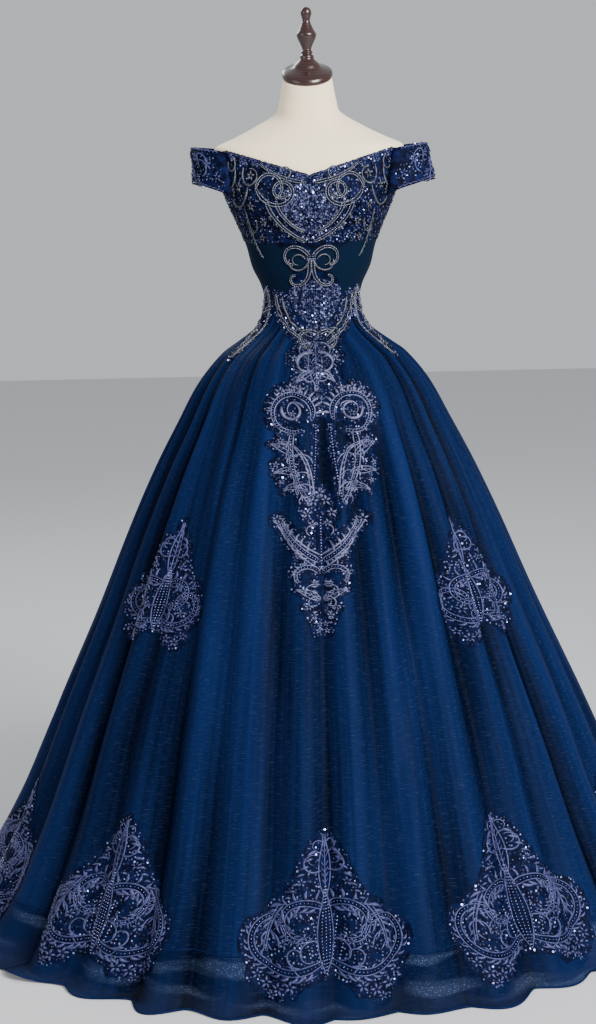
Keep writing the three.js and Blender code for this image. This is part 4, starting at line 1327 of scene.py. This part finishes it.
def build_skirt_lace():
    main = hem_leaves + both_sides(hem_scrolls)
    fine = both_sides(hem_fine)
    for i, angle in enumerate(HEM_SPRAYS["angles"]):
        place = on_gown(angle, HEM_SPRAYS["z"], 1, HEM_SPRAYS["scale"], LACE_RISE)
        applique(f"hem_applique_{i + 1}", [f"hem_lace_{i + 1}"], place, main, fine)
    main = side_leaves + both_sides(side_scrolls)
    fine = both_sides(side_fine)
    for name, angle in SIDE_SPRAYS["angles"].items():
        place = on_gown(angle, SIDE_SPRAYS["z"], 1, SIDE_SPRAYS["scale"], LACE_RISE)
        applique("side_applique_" + name, ["side_lace_" + name], place, main, fine)
    lobes = [("left", -1.5, -1), ("right", 8.5, 1)]
    for name, angle, side in lobes:
        place = on_gown(angle, 962, side, 1.0, LACE_RISE)
        applique("centre_applique_" + name, ["centre_lace_" + name], place,
                 lobe_scrolls + lobe_leaves, lobe_fine, pale_cord)
    applique("lower_applique", ["lower_lace"], on_gown(1, 792, 1, 1.0, LACE_RISE),
             drop_middle + both_sides(drop_scrolls + drop_leaves), both_sides(drop_fine),
             pale_cord)
    drop = on_gown(1, 1060, 1, 1.0, LACE_RISE)
    applique("centre_drop_applique", ["centre_lace_drop"], drop,
             centre_leaf + both_sides(centre_scrolls + centre_leaves), both_sides(centre_fine),
             pale_cord, 13.0, 4.2)
    lace = Lace(drop)
    lace.discs(*shield(DROP_SHIELD, 4.0), 1.9, 3.2)
    lace.finish("centre_drop_sequins")


def beaded(lace, strokes):
    """Silver cords: broad ones as two lines over a dark body, with beads along them."""
    for stroke in strokes:
        if stroke["width"] < 5.6 or stroke.get("line") or stroke.get("petal"):
            lace.draw([stroke])
            if not stroke.get("petal"):
                lace.beading(stroke, 3.4, 1.1, 1.9)
            continue
        lace.dome({**stroke, "width": stroke["width"] + 1.5}, 1.4)
        for edge in (0.8, -0.8):
            lace.cord({**stroke, "edge": edge, "line": 2.7}, 2.3)
            lace.beading({**stroke, "edge": edge}, 3.2, 1.2, 2.6)


def build_bodice_lace():
    for name, side in (("left", -1), ("right", 1)):
        lace = Lace(on_gown(0, 1302, side))
        beaded(lace, bust_scrolls + bust_fine)
        lace.finish("bust_applique_" + name, ["bust_lace_" + name], silver_cord)
        lace = Lace(on_gown(60 * side, 1150, side, 1.0, 0.75))
        lace.ground(hip_scrolls + hip_fine, 8.0)
        beaded(lace, hip_scrolls + hip_fine)
        lace.scatter(hip_scrolls + hip_fine, 8.0, 4.2, SEQUIN)
        lace.finish("hip_applique_" + name, ["hip_lace_" + name], silver_cord)
    lace = Lace(on_gown(0, 1213))
    lace.ground(both_sides(midriff_scrolls), 2.0, 3.0)
    beaded(lace, both_sides(midriff_scrolls + midriff_fine))
    lace.discs(*shield(MIDRIFF_SHIELD, 3.2), 1.6, 1.4)
    lace.finish("midriff_applique", ["midriff_lace"], silver_cord)
    broad_net = leaf(0, 44, -90, 106, 0, 84)
    lace = Lace(on_gown(4, 1130))
    lace.ground(both_sides(waist_scrolls) + [broad_net], 10.0, 4.0)
    beaded(lace, both_sides(waist_scrolls + waist_fine))
    lace.discs(*shield(WAIST_SHIELD, 3.2), 1.8, 1.6)
    lace.scatter(both_sides(waist_scrolls), 12.0, 4.2, SEQUIN)
    lace.finish("waist_applique", ["waist_lace"], silver_cord)
    lace = Lace(on_gown(0, 1302))
    lace.discs(*shield(BUST_SHIELD, 3.2), 1.8, 1.2)
    lace.finish("bust_sequins")


def build_bodice_sequins():
    """Sequins strewn over the upper bodice."""
    count, low = 5200, 1240
    angle = random.uniform(-176, 176, count)
    z = low + (bodice_top(angle) - 3 - low) * random.uniform(0, 1, count)
    lace = Lace(lambda x, y: figure_point(x, y, 0))
    lace.normal = lambda x, y: unit(figure_point(x, y, 1) - figure_point(x, y, 0))
    lace.discs(angle, z, 1.45, 0.9)
    lace.finish("bodice_sequins")


def scallops(first, last, pitch, width, y, up=1):
    """A row of small arches from one x to another."""
    return [scroll(x, y, up * 74, pitch * 1.2, -up * 148, 1, width)
            for x in np.arange(first, last - pitch, pitch)]


def build_edges():
    """Scalloped lace along the neckline and the sleeves' edges, with flowers on the sleeves."""
    for name, side in (("left", -1), ("right", 1)):
        for part, start, length in (("front", 0.5, 138), ("back", 119, 138)):
            lace = Lace(along_neckline(start, side))
            arcs = scallops(0, length, 9.0, 2.2, -3)
            petals = rosettes(*((10 + 22 * k, -7, 6) for k in range(int(length / 22))))
            lace.ground(arcs, 2.2, 2.4, 0.9)
            lace.draw(arcs + petals)
            lace.scatter(arcs + petals, 4.0, 3.6, 1.5, 0.2)
            lace.finish(f"neckline_edge_{part}_{name}")
    tendril = scroll(2, 10, 40, 80, -260, 1.2, 4.5)
    motif = both_sides([
        tendril,
        scroll(4, 34, 20, 62, -250, 1.2, 4),
        scroll(52, 30, 120, 66, -280, 1.2, 4),
        scroll(60, 16, 20, 54, 230, 1.2, 4),
        *leaflets(tendril, 1, 0.2, 0.9, 5, 10, 4),
        *rosettes((20, 26, 8), (42, 46, 7), (74, 38, 8), (46, 12, 6), (92, 22, 6)),
    ])
    for name, side, upper_flare, lower_flare in SLEEVES:
        lace = Lace(on_sleeve(side, upper_flare, lower_flare))
        rims = scallops(-100, 104, 8.0, 2.4, 58) + scallops(-100, 104, 8.0, 2.4, 5, -1)
        lace.draw(rims + motif)
        lace.scatter(motif, 11, 5.4, 1.5, 0.4)
        lace.finish(f"sleeve_edge_{name}")


def build_hem():
    """A rolled edge at the foot of the organza and the cord over its facing."""
    angles, sides = np.linspace(-180, 180, 721)[:-1], 6
    rolls = [("hem_roll", -FLOOR_LENGTH, 1.5), ("hem_facing_line", HEM_BAND, 0.9)]
    for name, level, radius in rolls:
        centre = hem_point(angles, np.full(angles.shape, float(level)), 0.6)
        along = unit(np.roll(centre, -1, axis=0) - np.roll(centre, 1, axis=0))
        up = unit(np.cross(along, np.stack([centre[:, 0], centre[:, 1], 0 * angles], -1)))
        points = rings_round(centre, np.cross(up, along), up, radius, sides)
        points[..., 2] = np.maximum(points[..., 2], 0.2)
        uv = flat_place(np.repeat(angles, sides), SKIRT_RADIUS, 0)
        # The rolled edges take a fixed fold value, painted as a lit crest.
        values = {"fold_shade": np.full(len(uv), 0.9), "veil": np.zeros(len(uv))}
        faces = tube_faces(len(angles), sides, closed=True)
        piece = mesh_object(name, points, faces, [organza], uv=uv, values=values)
        facing_out(piece)
        placed(piece, "organza")


build_form()
build_cap()
build_stand()
build_bodice()
build_sleeves()
build_skirt()
build_underskirt()
build_hem()
build_skirt_lace()
build_bodice_lace()
build_bodice_sequins()
build_edges()


# Floor, light and camera


def build_floor():
    finish = Finish("floor", Roughness=0.75, Base_Color=shade(206, 206, 208))
    half = 9.0
    points = np.array([(-half, -half, 0), (half, -half, 0), (half, half, 0), (-half, half, 0)])
    floor = mesh_object("floor", points / METRE, [(0, 1, 2, 3)], [finish.material])
    floor.location.z = -0.0005


def area_light(name, place, target, size, power):
    light = bpy.data.lights.new(name, "AREA")
    light.size = size
    light.energy = power
    lamp = bpy.data.objects.new(name, light)
    bpy.context.scene.collection.objects.link(lamp)
    lamp.location = place
    towards = Vector(target) - Vector(place)
    lamp.rotation_euler = towards.to_track_quat("-Z", "Y").to_euler()


def build_lights():
    world = bpy.data.worlds.new("studio")
    world.use_nodes = True
    background = world.node_tree.nodes["Background"]
    background.inputs["Color"].default_value = shade(214, 217, 222)
    background.inputs["Strength"].default_value = 0.86
    bpy.context.scene.world = world
    area_light("key", (2.4, -3.2, 3.3), (0.1, 0, 0.8), 2.0, 400)
    area_light("fill", (-3.4, -2.8, 2.0), (0, 0, 0.8), 2.5, 40)
    area_light("rim", (-1.6, 2.8, 3.0), (0, 0, 1.0), 1.5, 40)


CAMERA = {"distance": 4.12, "height": 1.442, "pitch": 9.85, "yaw": 0.49, "roll": -1.3,
          "focal_pixels": 2199, "image_height": 1024, "sensor": 24}


def build_camera():
    camera = bpy.data.cameras.new("camera")
    camera.sensor_fit = "VERTICAL"
    camera.sensor_height = CAMERA["sensor"]
    camera.lens = CAMERA["focal_pixels"] / CAMERA["image_height"] * CAMERA["sensor"]
    holder = bpy.data.objects.new("camera", camera)
    bpy.context.scene.collection.objects.link(holder)
    turn = (
        Matrix.Rotation(math.radians(CAMERA["yaw"]), 4, "Z")
        @ Matrix.Rotation(math.radians(90 - CAMERA["pitch"]), 4, "X")
        @ Matrix.Rotation(math.radians(CAMERA["roll"]), 4, "Z")
    )
    place = Matrix.Translation((0, -CAMERA["distance"], CAMERA["height"]))
    holder.matrix_world = place @ turn
    bpy.context.scene.camera = holder


build_floor()
build_lights()
build_camera()
